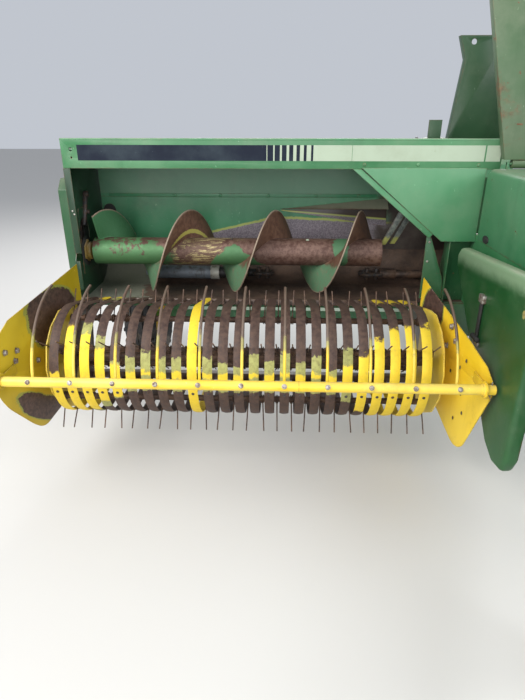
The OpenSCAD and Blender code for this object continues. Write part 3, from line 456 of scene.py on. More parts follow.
def round_head(size):
    """A carriage bolt's or rivet's low dome."""
    dome = added(bpy.ops.mesh.primitive_uv_sphere_add, segments=12, ring_count=6, radius=size / 2)
    with editing():
        bpy.ops.mesh.bisect(plane_co=(0, 0, 0), plane_no=(0, 0, 1), clear_inner=True, use_fill=True)
    dome.scale = (1, 1, 0.55)
    return apply(dome)


def steel(name, colour, worn, gloss=0.45, metal=0.8, grain=70.0):
    """Bare or zinced steel that has gone dull, with brown in its hollows."""
    look = Look(name, metal)
    spots = look.noise(grain, 6.0, 0.7)
    colour = look.lay(colour, worn, spots, 0.38, 0.68)
    return look.done(colour, look.ramp(spots, 0.3, 0.7, gloss, gloss + 0.3), spots, 0.3, 0.0008)


bolt_steel = steel("bolt_steel", (0.42, 0.40, 0.37), (0.16, 0.10, 0.07))
dark_steel = steel("dark_steel", (0.055, 0.055, 0.06), (0.14, 0.085, 0.055), metal=0.6)
grey_steel = steel("grey_steel", (0.20, 0.21, 0.22), (0.11, 0.085, 0.07), metal=0.6, grain=35.0)
dress(dark_steel, "auger_arm")

# --- Top beam ---
# A folded sheet channel across the machine's front. It carries a printed tape: a dark stretch,
# bars that grow towards a cream stretch, all without lettering, and it is riveted at its foot.
beam_low, beam_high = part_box("top_beam")
beam_face = beam_low.y
tape_low, tape_high = beam_high.z - 0.097, beam_high.z - 0.028
tape_t = 0.0006


def printed(name, colour, speck, gloss=0.4):
    """Printed tape: an even colour that has scuffed and lets the sheet show in small specks."""
    look = Look(name)
    wide = look.noise(5.0, 5.0, 0.6)
    dirty = look.lay(colour, speck, wide, 0.4, 0.75, 0.35)
    mixed = look.lay(dirty, speck, look.noise(34.0, 9.0, 0.75, 0.5), 0.62, 0.70)
    look.shader["Specular IOR Level"].default_value = 0.2
    return look.done(mixed, look.ramp(wide, 0.3, 0.7, gloss, gloss + 0.25))


dark_tape = printed("dark_tape", (0.006, 0.010, 0.022), (0.075, 0.10, 0.11), 0.6)
cream_tape = printed("cream_tape", (0.36, 0.43, 0.33), (0.20, 0.22, 0.15))
bars_x0, cream_x0, joint_x, cream_x1, beam_x1 = -0.345, -0.097, 0.070, 0.677, 0.752


def tape(x0, x1, proud, back=0.001):
    return block((x0, beam_face - proud, tape_low), (x1, beam_face + back, tape_high), 0)


finish(tape(-1.218, cream_x0, tape_t), "beam_tape_dark", dark_tape)
bar_n, bars = 8, []
for step in range(bar_n):
    bar_x = bars_x0 + (step + 0.6) * (cream_x0 - bars_x0) / bar_n
    bars.append(tape(bar_x, bar_x + 0.0035 + 0.0028 * step, 2 * tape_t, 0))
finish(joined(bars), "beam_tape_bars", cream_tape)
for letter, x0, x1 in (("a", cream_x0 + 0.004, joint_x - 0.001), ("b", joint_x + 0.001, cream_x1 - 0.002),
                       ("c", cream_x1 + 0.005, beam_x1 - 0.004)):
    finish(tape(x0, x1, tape_t), "beam_tape_cream_" + letter, cream_tape)
rivets = [(x, beam_face, beam_low.z + 0.020) for x in (0.130, 0.378, 0.655)]
finish(row_of(round_head(0.016), rivets, (0, -1, 0)), "beam_rivets", green_paint)
# A rolled lip along the top edge, in the lit copy of the green: a painted highlight.
lip = bar((beam_low.x, beam_face + 0.004, beam_high.z - 0.004), "X", beam_x1 - beam_low.x, 0.0055, 12)
finish(lip, "beam_lip", light_green_paint)

# --- Back sheets ---
# Two pressed sheets close the auger house. The crop has polished the lower one to bare steel along
# the auger, with a ragged yellow-green edge where the primer still shows.
sheet_low, sheet_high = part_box("back_sheet")
sheet_face = sheet_high.y - 0.008
seam_z = 1.225


def crop_polish(look, colour):
    """Bare steel under two slanting lines, rust-dark sheet past the auger's end, and the ledge."""
    x, z = look.axis("X"), look.axis("Z")
    edge = look.maths("MINIMUM", x * 0.233 + 1.155, x * -0.045 + 1.077)
    ragged = look.noise(26.0, 6.0, 0.7) * 0.02 + (z - edge)
    bare = look.lay((0.130, 0.112, 0.138), (0.27, 0.235, 0.265), look.noise(130.0, 4.0, 0.7), 0.35, 0.65)
    colour = look.lay(colour, (0.36, 0.42, 0.11), ragged, 0.024, 0.018)
    colour = look.lay(colour, bare, ragged, 0.010, 0.006)
    inward = look.ramp(look.noise(5.0, 6.0, 0.6), 0.3, 0.7, -0.05, 0.04)
    colour = look.lay(colour, (0.026, 0.014, 0.012), x + inward, 0.26, 0.34)
    ledge = look.ramp(look.axis("Y"), 0.6275, 0.6265) * look.ramp(z, 1.2045, 1.203)
    colour = look.blend(ledge, colour, look.lay((0.085, 0.045, 0.03), (0.155, 0.170, 0.120), z, 1.140, 1.156))
    return look.lay(colour, (0.12, 0.21, 0.15), z, seam_z - 0.003, seam_z + 0.001, 0.45)


house_paint = field_paint("house_paint", (0.040, 0.205, 0.092), (0.075, 0.245, 0.130), rust=0.3, dust=0.45,
                          wear=crop_polish)
dress(house_paint, "back_sheet")
seam = block((sheet_low.x + 0.05, sheet_face - 0.003, seam_z - 0.022),
             (0.28, sheet_face + 0.004, seam_z - 0.001), 0.0012)
finish(seam, "back_seam", house_paint)
bolt_places = [(x, sheet_face - 0.003, seam_z - 0.012) for x in (-0.86, -0.60, -0.33, -0.06, 0.18)]
finish(row_of(round_head(0.02), bolt_places, (0, -1, 0)), "seam_bolts", house_paint)
rubber = steel("black_rubber", (0.012, 0.012, 0.013), (0.035, 0.033, 0.03), gloss=0.6, metal=0.0, grain=90.0)


def flap_wear(look, colour):
    """The crop slides over the flap's lower part, which is as bright as the sheet below it."""
    height = look.axis("X") * 0.075 + look.axis("Z")
    bare = look.lay((0.115, 0.100, 0.120), (0.23, 0.20, 0.225), look.noise(130.0, 4.0, 0.7), 0.35, 0.65)
    colour = look.lay(colour, (0.34, 0.38, 0.10), height, 1.118, 1.112)
    return look.lay(colour, bare, height, 1.108, 1.105)


# The plate behind the slot is near black for the shade under the bent-out sheet: painted shade. Its lower
# part takes the sheet's bare polish.
slot_shade_paint = field_paint("slot_shade_paint", (0.030, 0.017, 0.015), (0.045, 0.028, 0.022), rust=0.2, dust=0.1,
                         wear=flap_wear)
flap = block((-0.285, sheet_high.y - 0.001, 1.036), (0.375, sheet_high.y + 0.003, 1.160), 0.001)
finish(flap, "slot_shade_plate", slot_shade_paint)
boot = bar((-1.247, sheet_high.y - 0.001, 1.128), "Y", 0.013, 0.044, 32, 0.003)
finish(boot, "lamp_hole_boot", rubber)

# --- Auger ---
# A rolled steel tube with a ribbon of flighting welded round it. Crop has worn the middle and the
# free end to brown steel; green is left beside the end plate and yellow primer in the middle.
auger_y, auger_z = 0.2991, 0.969
tube_r, flight_r, flight_t = 0.070, 0.214, 0.007


def worn_steel(name, gloss=0.42, metal=0.35):
    """A look whose roughness and bumps are those of worn steel, and the grain behind them."""
    look = Look(name, metal)
    grain = look.noise(48.0, 8.0, 0.72)
    look.done((0, 0, 0, 1), look.ramp(grain, 0.3, 0.7, gloss, gloss + 0.25), grain, 0.35, 0.0012)
    return look, grain


look, grain = worn_steel("tube_steel")
x, z = look.axis("X"), look.axis("Z")
blots = look.noise(7.0, 8.0, 0.65, 0.6)
brown = look.lay((0.085, 0.040, 0.030), (0.180, 0.108, 0.084), grain, 0.36, 0.64)
scratches = look.noise(120.0, 8.0, 0.78, stretch=(0.14, 1, 1))
mottle = look.lay((0.42, 0.35, 0.165), (0.115, 0.066, 0.046), scratches, 0.42, 0.50)
colour = look.lay(brown, mottle, blots + abs(x + 0.66) * -0.9, 0.36, 0.40)
scabs = look.noise(15.0, 9.0, 0.75, 0.5) + (z - 1.0) * 1.6
green_rust = look.lay((0.070, 0.175, 0.070), (0.088, 0.046, 0.034), scabs, 0.53, 0.56)
colour = look.lay(colour, green_rust, blots * -0.55 + x, -1.10, -1.16)
colour = look.lay(colour, (0.085, 0.20, 0.10), abs(x - 0.05) + blots * 0.16, 0.115, 0.105)
# Green is left on the lower side beside the middle sweep.
shade = abs(x + 0.495) + z * 1.2 + blots * 0.26
colour = look.lay(colour, (0.070, 0.175, 0.075), shade, auger_z * 1.2 + 0.200, auger_z * 1.2 + 0.188)
tube_steel = look.done(colour)
dress(tube_steel, "auger_tube")

look, grain = worn_steel("flight_steel", 0.5, 0.2)
x, z = look.axis("X"), look.axis("Z")
from_axis = look.vector("SUBTRACT", "Vector", look.place, (0, auger_y, auger_z))
reach = look.vector("LENGTH", "Value", look.vector("MULTIPLY", "Vector", from_axis, (0, 1, 1)))
rust = look.lay((0.080, 0.036, 0.022), (0.165, 0.085, 0.052), grain, 0.35, 0.66)
green = look.lay((0.092, 0.200, 0.108), (0.17, 0.16, 0.10), grain, 0.46, 0.72)
colour = look.lay(rust, green, z + look.noise(9.0, 7.0, 0.7) * 0.16, 1.02, 0.985)
# Yellow primer shows along the flight's foot, and the crop keeps its rim bare.
foot_band = abs(reach - 0.104) + grain * 0.012
foot = look.clamped("MULTIPLY", look.ramp(abs(x + 0.70), 0.13, 0.11), look.ramp(foot_band, 0.018, 0.015))
foot = look.clamped("MULTIPLY", foot, look.ramp(z, 1.00, 1.02))
colour = look.blend(foot, colour, (0.36, 0.32, 0.075))
colour = look.lay(colour, (0.045, 0.145, 0.060), x, -1.02, -1.05)
flight_steel = look.done(look.lay(colour, (0.25, 0.19, 0.14), reach + grain * 0.012, 0.211, 0.217))

# The auger's and the bands' places along X are measured from a line this far beside the frame's.
side = -0.00997
flight_x0, flight_x1, flight_pitch = 0.267 + side, -1.194 + side, 0.440
turns = (flight_x0 - flight_x1) / flight_pitch


def wound(piece, axis, angle, rounds, steps, rise):
    """Screws a closed outline along an axis and closes the two ends of what it makes."""
    winding = piece.modifiers.new("winding", "SCREW")
    winding.axis = axis
    winding.angle = angle
    winding.iterations = rounds
    winding.steps = winding.render_steps = steps
    winding.screw_offset = rise
    winding.use_normal_calculate = True
    apply(piece, winding)
    with editing():
        bpy.ops.mesh.fill_holes(sides=16)
        bpy.ops.mesh.normals_make_consistent(inside=False)
    return piece


def ribbon(outline, sweeps=4):
    """Winds an outline round the tube, from the free end towards the end plate."""
    piece = wound(outline, "X", turns * 2 * math.pi / sweeps, sweeps, 38, (flight_x1 - flight_x0) / sweeps)
    piece.location = (flight_x0, auger_y, auger_z)
    return apply(piece)


strip = added(bpy.ops.mesh.primitive_plane_add, size=1, location=(0, (tube_r + flight_r) / 2, 0))
strip.scale = (flight_t, flight_r - tube_r - 0.001, 1)
apply(strip)
with editing():
    bpy.ops.mesh.bevel(offset=0.0018, segments=2, affect="VERTICES")
with editing():
    bpy.ops.mesh.delete(type="ONLY_FACE")
finish(ribbon(strip), "auger_flighting", flight_steel, "auger", ("auger_flight",))
weld = added(bpy.ops.mesh.primitive_circle_add, vertices=8, radius=0.005, location=(0, tube_r + 0.001, 0))
finish(ribbon(weld), "auger_weld", flight_steel, "auger")

plug = bar((-0.511, auger_y - 0.012, auger_z + 0.067), "Z", 0.0025, 0.011, 20, 0.0005)
finish(plug, "auger_tube_plug", dark_steel, "auger")
lump = row_of(round_head(0.020), [(-0.116, auger_y - 0.020, auger_z + 0.0665)])
finish(lump, "auger_tube_weld_spot", cream_tape, "auger")

# --- Auger floor ---
# A rolled trough of bare sheet, rusted brown under the auger and painted darker for the shade in
# the trough, with the last grey-green paint at its left end.
look, grain = worn_steel("trough_rust_and_shade", 0.55, 0.1)
wide = look.noise(6.0, 8.0, 0.7, 0.4)
# The dark brown is partly rust and partly the trough's shade: painted shade.
brown = look.lay((0.042, 0.026, 0.020), (0.115, 0.070, 0.048), wide, 0.34, 0.68)
brown = look.lay(brown, (0.17, 0.115, 0.08), grain, 0.60, 0.72)
left = look.axis("X") + wide * 0.5 + look.noise(15.0, 7.0, 0.7) * 0.3
trough_rust_and_shade = look.done(look.lay(brown, (0.165, 0.170, 0.130), left, -0.56, -0.64))
dress(trough_rust_and_shade, "auger_floor")

# --- Driveline ---
# The two halves of the driveline shaft rest in the back of the trough: grey tubes, a yellow
# collar, and forged joint yokes that have gone rusty.
look, grain = worn_steel("shaft_steel", 0.42, 0.3)
x, spots = look.axis("X"), look.noise(16.0, 7.0, 0.7)
colour = look.lay((0.175, 0.200, 0.235), (0.085, 0.080, 0.078), spots, 0.45, 0.66)
pale = look.lay((0.42, 0.42, 0.38), (0.20, 0.18, 0.15), spots, 0.45, 0.6)
black = (0.022, 0.021, 0.022)
ochre = look.lay((0.26, 0.20, 0.055), (0.085, 0.052, 0.036), spots, 0.42, 0.56)
rusty = look.lay((0.045, 0.030, 0.024), (0.130, 0.078, 0.052), spots, 0.4, 0.6)
for start, tone in ((-0.655, pale), (-0.605, black), (-0.515, ochre), (-0.440, black), (0.100, rusty)):
    colour = look.lay(colour, tone, x, start - 0.002, start + 0.002)
shaft_steel = look.done(colour)

shaft_y, shaft_z = 0.505, 0.799
tubes = [turned((x0, shaft_y, shaft_z), (x1, shaft_y, shaft_z), radius, 32, 0.002) for x0, x1, radius in (
    (-1.030, -0.990, 0.020), (-0.992, -0.645, 0.037), (-0.655, -0.605, 0.040), (-0.607, -0.513, 0.031),
    (-0.515, -0.440, 0.036), (-0.442, -0.395, 0.022), (0.310, 0.400, 0.031), (0.398, 0.575, 0.024))]
finish(joined(tubes), "driveline_shafts", shaft_steel, stands_for=("driveline",))

# The yokes at the ends are forged rings with a cross between them.
forgings = []
for x, turn, ring_r in ((-0.378, 0.5, 0.034), (-0.330, -0.3, 0.032), (0.240, 0.2, 0.040),
                        (0.292, -0.9, 0.036)):
    ring = coil((0, 0, 0), ring_r, 0.34 * ring_r, 20)
    upright = Matrix.Rotation(turn, 4, "Z") @ Matrix.Rotation(math.pi / 2, 4, "Y")
    ring.data.transform(Matrix.Translation((x, shaft_y, shaft_z)) @ upright)
    forgings += [ring, bar((x - 0.032, shaft_y, shaft_z), "X", 0.064, 0.011, 16, 0.001),
                 bar((x, shaft_y, shaft_z - 0.032), "Z", 0.064, 0.011, 16, 0.001)]
finish(joined(forgings), "driveline_joints", dark_steel)

# --- End plate fittings ---
# A black arm in the slanted slot lets the auger float, and a rubber guard closes the slot. A
# yellow flanged bearing is bolted over the plate's opening, with a rubber seal round the tube.
plate_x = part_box("end_plate")[0].x + 0.006
lever = joined([turned((plate_x + 0.004, 0.300, 1.100), (plate_x + 0.004, 0.372, 1.250), 0.013, 16, 0.003),
                bar((plate_x + 0.002, 0.335, 1.165), "X", 0.028, 0.011, 6, 0.001),
                bar((plate_x - 0.001, 0.372, 1.250), "X", 0.023, 0.016, 20, 0.002)])
finish(lever, "float_lever", dark_steel)
seal_x = plate_x + 0.0035
seal = coil((seal_x, auger_y, auger_z), 0.053, 0.028, 32)
for point in seal.data.vertices:
    point.co.x = seal_x + (point.co.x - seal_x) * 0.11
finish(seal, "shaft_seal_disc", rubber)
slot_guard = block((plate_x - 0.0045, 0.300, 1.030), (plate_x - 0.0015, 0.430, 1.260), 0.001)
finish(slot_guard, "float_slot_guard", rubber)
bearing = joined([bar((plate_x + 0.014, auger_y, auger_z), "X", 0.022, 0.046, 32, 0.004),
                  bar((plate_x + 0.004, auger_y, auger_z), "X", 0.010, 0.060, 6, 0.003)])
bearing_paint = field_paint("bearing_paint", (0.30, 0.20, 0.03), (0.16, 0.11, 0.05), rust=1.0, dust=0.5)
finish(bearing, "shaft_bearing", bearing_paint)
rivet_places = [(plate_x + 0.012, 0.1515, 1.196), (plate_x + 0.019, 0.1515, 1.180)]
finish(row_of(round_head(0.010), rivet_places, (0, -1, 0)), "flange_rivets", bolt_steel)

# --- Feeder fork ---
# Flat forged arms on a carrier under the roof. They are green above, and rubbed to grey steel
# where they dip into the crop.


def fork_wear(look, colour):
    """The arms' lower halves are grey steel, and their tips are yellow-green."""
    z = look.axis("Z") + look.noise(18.0, 7.0, 0.7) * 0.06
    grey = look.lay((0.055, 0.065, 0.065), (0.13, 0.15, 0.135), look.noise(60.0, 5.0, 0.7), 0.4, 0.6)
    colour = look.lay(colour, grey, z, 1.235, 1.205)
    return look.lay(colour, (0.26, 0.27, 0.07), z, 1.075, 1.060)


fork_paint = field_paint("fork_paint", (0.060, 0.180, 0.060), (0.12, 0.22, 0.08), rust=0.7, dust=0.4,
                         wear=fork_wear)
eased("feeder_fork", "feeder_arms", fork_paint, 0.0022)

# --- Stripper bands ---
# Spring steel strips, rolled to a slight crown and bent round the reel, each held by a bolt low
# on its front. Crop keeps them bare on top; yellow is left lower down, most on the outer ones.
reel_y, reel_z = -0.1789, 0.567
band_r, band_w, band_t, crown = 0.258, 0.042, 0.003, 0.0035
band_n, band_pitch = 25, 0.0667
band_x0 = -0.418 - 12 * band_pitch + side
band_start = math.radians(77.27)

look, grain = worn_steel("band_steel", 0.48, 0.15)
x, z = look.axis("X"), look.axis("Z")
count = look.maths("FLOOR", (x - band_x0) / band_pitch + 0.5)
luck = look.node("ShaderNodeTexWhiteNoise", "Value", {"W": count}, noise_dimensions="1D")
outer = look.ramp(abs(count - 11.5), 6.0, 11.0)
first, whole = look.maths("COMPARE", count, 0.0, 0.5), look.maths("COMPARE", count, 9.0, 0.5)
painted = look.maths("MAXIMUM", outer, whole * 1.6)
ragged = look.noise(30.0, 7.0, 0.7, 0.4)
top_z = luck * 0.075 + (painted * 0.12 + 0.590) + ragged * 0.08 - first * 0.19
low_z = 0.490 - painted * 0.22 + ragged * 0.06
depth = look.maths("MINIMUM", top_z - z, z - low_z)
bare = look.lay((0.042, 0.022, 0.017), (0.100, 0.058, 0.041), grain, 0.34, 0.66)
olive = look.lay((0.34, 0.34, 0.105), (0.22, 0.205, 0.070), grain, 0.4, 0.7)
yellow = look.lay((0.78, 0.56, 0.03), (0.55, 0.40, 0.06), grain, 0.5, 0.8)
colour = look.lay(bare, olive, depth, 0.0, 0.006)
band_steel = look.done(look.lay(colour, yellow, depth + (painted - luck) * 0.06, 0.020, 0.034))

# A strip's crowned cross line is spun round the reel. Its lower end runs back under the machine
# and its upper end runs up to the lip of the trough.
band = added(bpy.ops.mesh.primitive_plane_add, size=1)
band.scale = (band_w, band_t, 1)
apply(band)
with editing():
    bpy.ops.mesh.subdivide(number_cuts=3)
with editing():
    bpy.ops.mesh.bisect(plane_co=(0, -band_t * 0.49, 0), plane_no=(0, 1, 0), clear_outer=True)
    bpy.ops.mesh.select_all(action="SELECT")
    bpy.ops.mesh.delete(type="ONLY_FACE")
shape = bmesh.new()
shape.from_mesh(band.data)
bmesh.ops.delete(shape, geom=[v for v in shape.verts if v.co.y > -band_t * 0.495], context="VERTS")
for v in shape.verts:
    v.co.y = band_r - crown * (2 * v.co.x / band_w) ** 2
shape.to_mesh(band.data)
shape.free()
band.rotation_euler = (band_start, 0, 0)
apply(band)
under_run, lip_y, lip_z = 0.307, 0.352, 0.185
with editing():
    bpy.ops.mesh.spin(steps=26, angle=band_start - math.radians(270), center=(0, 0, 0), axis=(1, 0, 0))
    bpy.ops.mesh.extrude_region_move(TRANSFORM_OT_translate={"value": (0, under_run, 0)})
with editing("DESELECT"):
    pass
for v in band.data.vertices:
    v.select = v.co.z > 0 and abs(v.co.y / max(v.co.z, 1e-6) - 1 / math.tan(band_start)) < 0.004
for e in band.data.edges:
    e.select = all(band.data.vertices[i].select for i in e.vertices)
to_lip = (0, lip_y - band_r * math.cos(band_start), lip_z - band_r * math.sin(band_start))
with editing(None):
    bpy.ops.mesh.extrude_region_move(TRANSFORM_OT_translate={"value": to_lip})
    bpy.ops.mesh.select_all(action="SELECT")
    bpy.ops.mesh.normals_make_consistent(inside=False)
thick = band.modifiers.new("thickness", "SOLIDIFY")
thick.thickness = band_t
thick.offset = -1
apply(band, thick)
bands = row_of(band, [(band_x0 + i * band_pitch, reel_y, reel_z) for i in range(band_n)])
finish(bands, "stripper_bands", band_steel, "pickup", ("bands",))
foot_a = math.radians(193)
outward = Vector((0, math.cos(foot_a), math.sin(foot_a)))
band_feet = [Vector((band_x0 + i * band_pitch, reel_y, reel_z)) + band_r * outward
             for i in range(band_n)]
finish(row_of(round_head(0.014), band_feet, outward), "band_bolts", dark_steel, "pickup")

# --- Sheets and plates ---
# Folded, pressed and flame-cut plates, sprayed green. Their edges are rounded by the fold or by
# wear, so the light catches them.
# The end plate's green is painted darker for the shade it stands in: painted shade.
end_shade_paint = field_paint("end_shade_paint", (0.006, 0.032, 0.012), (0.012, 0.044, 0.021), rust=0.5, dust=0.1)
# The cheek green is painted darker for the shade in the recess by the side shield: painted shade. The drive
# shield, gap sheet and edge strip take it too.
cheek_shade_paint = field_paint("cheek_shade_paint", (0.018, 0.085, 0.032), (0.045, 0.120, 0.055), rust=0.8, dust=0.3)
faded_paint = field_paint("faded_paint", (0.046, 0.105, 0.042), (0.080, 0.125, 0.066), rust=1.0, dust=0.6)
# The feeder cover's green is painted darker for its front face in shade: painted shade.
feeder_shade_paint = field_paint("feeder_shade_paint", (0.009, 0.043, 0.014), (0.018, 0.060, 0.023), rust=0.4, dust=0.3)
eased("top_beam", "beam_channel", green_paint, 0.0025)
eased("end_plate", "end_plate_sheet", end_shade_paint, 0.0018)
# The gusset takes the lit copy of the green: painted light.
eased("gusset_panel", "gusset_sheet", light_green_paint, 0.0018)
eased("side_plate", "cheek_plates", cheek_shade_paint, 0.0015)
cheek_bolts = row_of(round_head(0.012), [(0.482, 0.178, z) for z in (1.052, 0.955)], (0, -1, 0))
finish(cheek_bolts, "cheek_bolts", bolt_steel)
# A folded sheet in the darker cheek green closes the gap between the cheek and the side shield and stands in
# for the shade there: painted shade.
gap_shade_sheet = joined([block((0.500, 0.163, 0.560), (0.760, 0.166, 0.741), 0.0008),
                    block((0.500, 0.163, 0.560), (0.760, 0.190, 0.563), 0.0008),
                    block((0.500, 0.163, 0.738), (0.690, 0.190, 0.741), 0.0008)])
finish(gap_shade_sheet, "gap_shade_sheet", cheek_shade_paint)
edge_strip = block((0.672, 0.1590, 1.100), (0.735, 0.1620, 1.360), 0.0008)
finish(edge_strip, "gusset_edge_strip", cheek_shade_paint)
for node, name, paint, width, segments in (
        ("drive_shield", "drive_shield_box", cheek_shade_paint, 0.006, 3),
        ("bale_case", "bale_case_walls", green_paint, 0.0025, 2),
        ("chute", "chute_tray", green_paint, 0.0018, 2),
        ("tongue", "tongue_tube", green_paint, 0.010, 3),
        ("twine_box", "twine_box_tray", green_paint, 0.0035, 2),
        ("twine_lid", "twine_box_lid", green_paint, 0.0035, 2),
        ("hood_panel", "front_hood", faded_paint, 0.008, 3),
        ("feeder_hood", "feeder_cover", feeder_shade_paint, 0.0035, 2)):
    eased(node, name, paint, width, segments)

# --- Shields and knotter hood ---
# The two shields are deep-drawn covers with rounded shoulders, and the sun has bleached them. The
# side shield is painted darker for shade, and its top shoulder is lighter with a painted highlight
# and dust. The upper one carries the hood's hinge on two lugs. The knotter hood is folded from sheet.
cover_top = 1.402


def pressed(node, name, material, radius, open_side):
    """A deep-drawn cover: the plain piece's outer form below cover_top, with rounded shoulders,
    hollow and open to one side. Loose pieces, such as a bracket, come back as a second piece."""
    plain = frame["nodes"][node]
    copy_of(plain)
    bpy.ops.mesh.separate(type="LOOSE")
    bpy.ops.object.mode_set(mode="OBJECT")
    shell, *rest = sorted(bpy.context.selected_objects, key=lambda part: -math.prod(part.dimensions))
    clear()
    shell.select_set(True)
    bpy.context.view_layer.objects.active = shell
    with editing():
        bpy.ops.mesh.bisect(plane_co=(0, 0, cover_top), plane_no=(0, 0, 1), clear_outer=True)
        bpy.ops.mesh.select_all(action="SELECT")
        bpy.ops.mesh.convex_hull()
        bpy.ops.mesh.select_all(action="SELECT")
        bpy.ops.mesh.dissolve_limited(angle_limit=math.radians(1))
    rounded(shell, radius, 5, 20)
    open_side = Vector(open_side)
    limit = max(v.co.dot(open_side) for v in shell.data.vertices) - radius * 0.6
    with editing():
        bpy.ops.mesh.bisect(plane_co=open_side * limit, plane_no=open_side, clear_outer=True)
    shell.data.transform(Matrix.Translation(-open_side * limit))
    sheet = shell.modifiers.new("sheet", "SOLIDIFY")
    sheet.thickness = 0.003
    sheet.offset = -1
    apply(shell, sheet)
    shell.data.transform(Matrix.Translation(open_side * limit))
    finish(shell, name, material, body_of(plain)[0], (node,), smooth=40)
    if rest:
        hinge = rounded(joined(rest), 0.001, 1, 30)
        finish(hinge, name + "_hinge", material, body_of(plain)[0], (node,))


def scuffs(look, colour):
    """The lower edge has rubbed through to brown steel."""
    z = look.axis("Z") + look.noise(22.0, 8.0, 0.75) * 0.05
    return look.lay(colour, (0.10, 0.062, 0.045), z, 1.098, 1.090)


shield_paint = field_paint("shield_paint", (0.036, 0.165, 0.070), (0.075, 0.205, 0.105), rust=0.9, dust=0.5,
                           edge=0.010, wear=scuffs)
pressed("upper_shield", "upper_shield_cover", shield_paint, 0.030, (0, 0, -1))
pin_y, pin_z = 0.119, 1.424
hinge = [block((x, pin_y - 0.008, pin_z - 0.056), (x + 0.008, pin_y + 0.009, pin_z + 0.008), 0.0015)
         for x in (0.765, 1.121)]
hinge.append(bar((0.765, pin_y, pin_z), "X", 0.364, 0.006, 16, 0.0008))
finish(joined(hinge), "hood_hinge_lugs", shield_paint)


def shoulder_highlight_and_rubs(look, colour):
    """A painted highlight with dust lightens the shoulder along the top; straps have rubbed two places bare.
    """
    y, z = look.axis("Y"), look.axis("Z")
    cloud = look.noise(12.0, 7.0, 0.7, 0.6) * 0.05
    # Lighter green along the top shoulder: a painted highlight, partly dust.
    colour = look.lay(colour, (0.175, 0.275, 0.160), 1.054 - (z + y * 0.081) + cloud, 0.115, 0.055)
    for rub_y, rub_z, rub_r in ((-0.653, 0.975, 0.034), (0.050, 0.820, 0.040)):
        off_y, off_z = (y - rub_y) * 1.6, z - rub_z
        far = look.maths("SQRT", off_y * off_y + off_z * off_z) + cloud
        colour = look.lay(colour, (0.30, 0.26, 0.09), far, rub_r + 0.014, rub_r + 0.008)
        colour = look.lay(colour, (0.105, 0.060, 0.042), far, rub_r, rub_r - 0.006)
    return colour


# The side shield's green is painted darker for shade: painted shade.
side_shade_paint = field_paint("side_shade_paint", (0.009, 0.066, 0.016), (0.020, 0.094, 0.028), rust=0.45, dust=0.45,
                         edge=0.012, wear=shoulder_highlight_and_rubs)
pressed("side_shield", "side_shield_cover", side_shade_paint, 0.050, (1, 0, 0))
# The knotter hood takes the lit copy of the green: painted light.
eased("knotter_hood", "knotter_cover", light_green_paint, 0.006, 3)

# --- Pickup sides and flares ---
# Flame-cut plates close the pickup's sides, and two flared plates bolted to them steer the crop
# in. All are painted yellow, and scoured to brown steel where the crop slides along them.


def crop_lip(look, colour):
    """Behind the bands the crop has kept the yellow paint off the rusty steel."""
    return look.lay(colour, (0.075, 0.042, 0.030), look.axis("Y"), 0.02, 0.04)


pickup_paint = field_paint("pickup_paint", (0.76, 0.50, 0.025), (0.82, 0.62, 0.08), rust=0.6, dust=0.3,
                           wear=crop_lip)
eased("pickup_frame", "pickup_sides", pickup_paint, 0.002)


def flare_wear(spots):
    """Scoured patches: a middle in Y and Z, two half widths and a lean for each."""
    def wear(look, colour):
        y, z = look.axis("Y"), look.axis("Z")
        ragged = look.noise(9.0, 8.0, 0.7, 0.6) * 1.3
        fine = look.noise(60.0, 6.0, 0.7)
        brown = look.lay((0.040, 0.022, 0.018), (0.095, 0.054, 0.042), fine, 0.35, 0.65)
        for middle_y, middle_z, half_y, half_z, lean in spots:
            off_y = y - middle_y
            off_z = z - middle_z + off_y * lean
            far = abs(off_y / half_y) ** 2.4 + abs(off_z / half_z) ** 2.4 + ragged
            colour = look.lay(colour, (0.26, 0.26, 0.045), far, 1.78, 1.70)
            colour = look.lay(colour, brown, far, 1.58, 1.53)
        return colour
    return wear


left_spots = [(-0.125, 0.745, 0.195, 0.145, 0.15), (-0.270, 0.330, 0.21, 0.075, 0.70)]
right_spots = [(-0.020, 0.775, 0.10, 0.10, 0.2)]
# The left flare takes a darker copy of the flare yellow for its inner face in shade: painted shade.
flare_left_shade_paint = field_paint("flare_left_shade_paint", (0.38, 0.27, 0.008), (0.50, 0.36, 0.016), rust=0.5,
                               dust=0.15, wear=flare_wear(left_spots))
flare_right_paint = field_paint("flare_right_paint", (0.70, 0.47, 0.015), (0.80, 0.57, 0.045), rust=0.4,
                                dust=0.15, wear=flare_wear(right_spots))
flare_t, cut_edge = 0.004, 0.0256
eased("flare_left", "flare_left_sheet", flare_left_shade_paint, 0.0012, corners=(
    (0.255, 0.320, 0.037, flare_t), (0.470, 0.510, 0.050, flare_t), (0.740, 0.780, 0.040, flare_t)))
eased("flare_right", "flare_right_sheet", flare_right_paint, 0.0012, corners=(
    (0.210, 0.230, 0.0, cut_edge), (0.210, 0.230, 0.080, flare_t), (0.580, 0.600, 0.020, flare_t)))

flare_a = math.radians(11)
left_foot, right_foot, foot_y = -1.2794, 0.4567, 0.114


def on_flare(x_foot, hand, places):
    """Points on a flare's inner face for places in Y and Z; hand is 1 on the right."""
    return [Vector((x_foot - hand * math.tan(flare_a) * (y - foot_y), y, z)) for y, z in places]


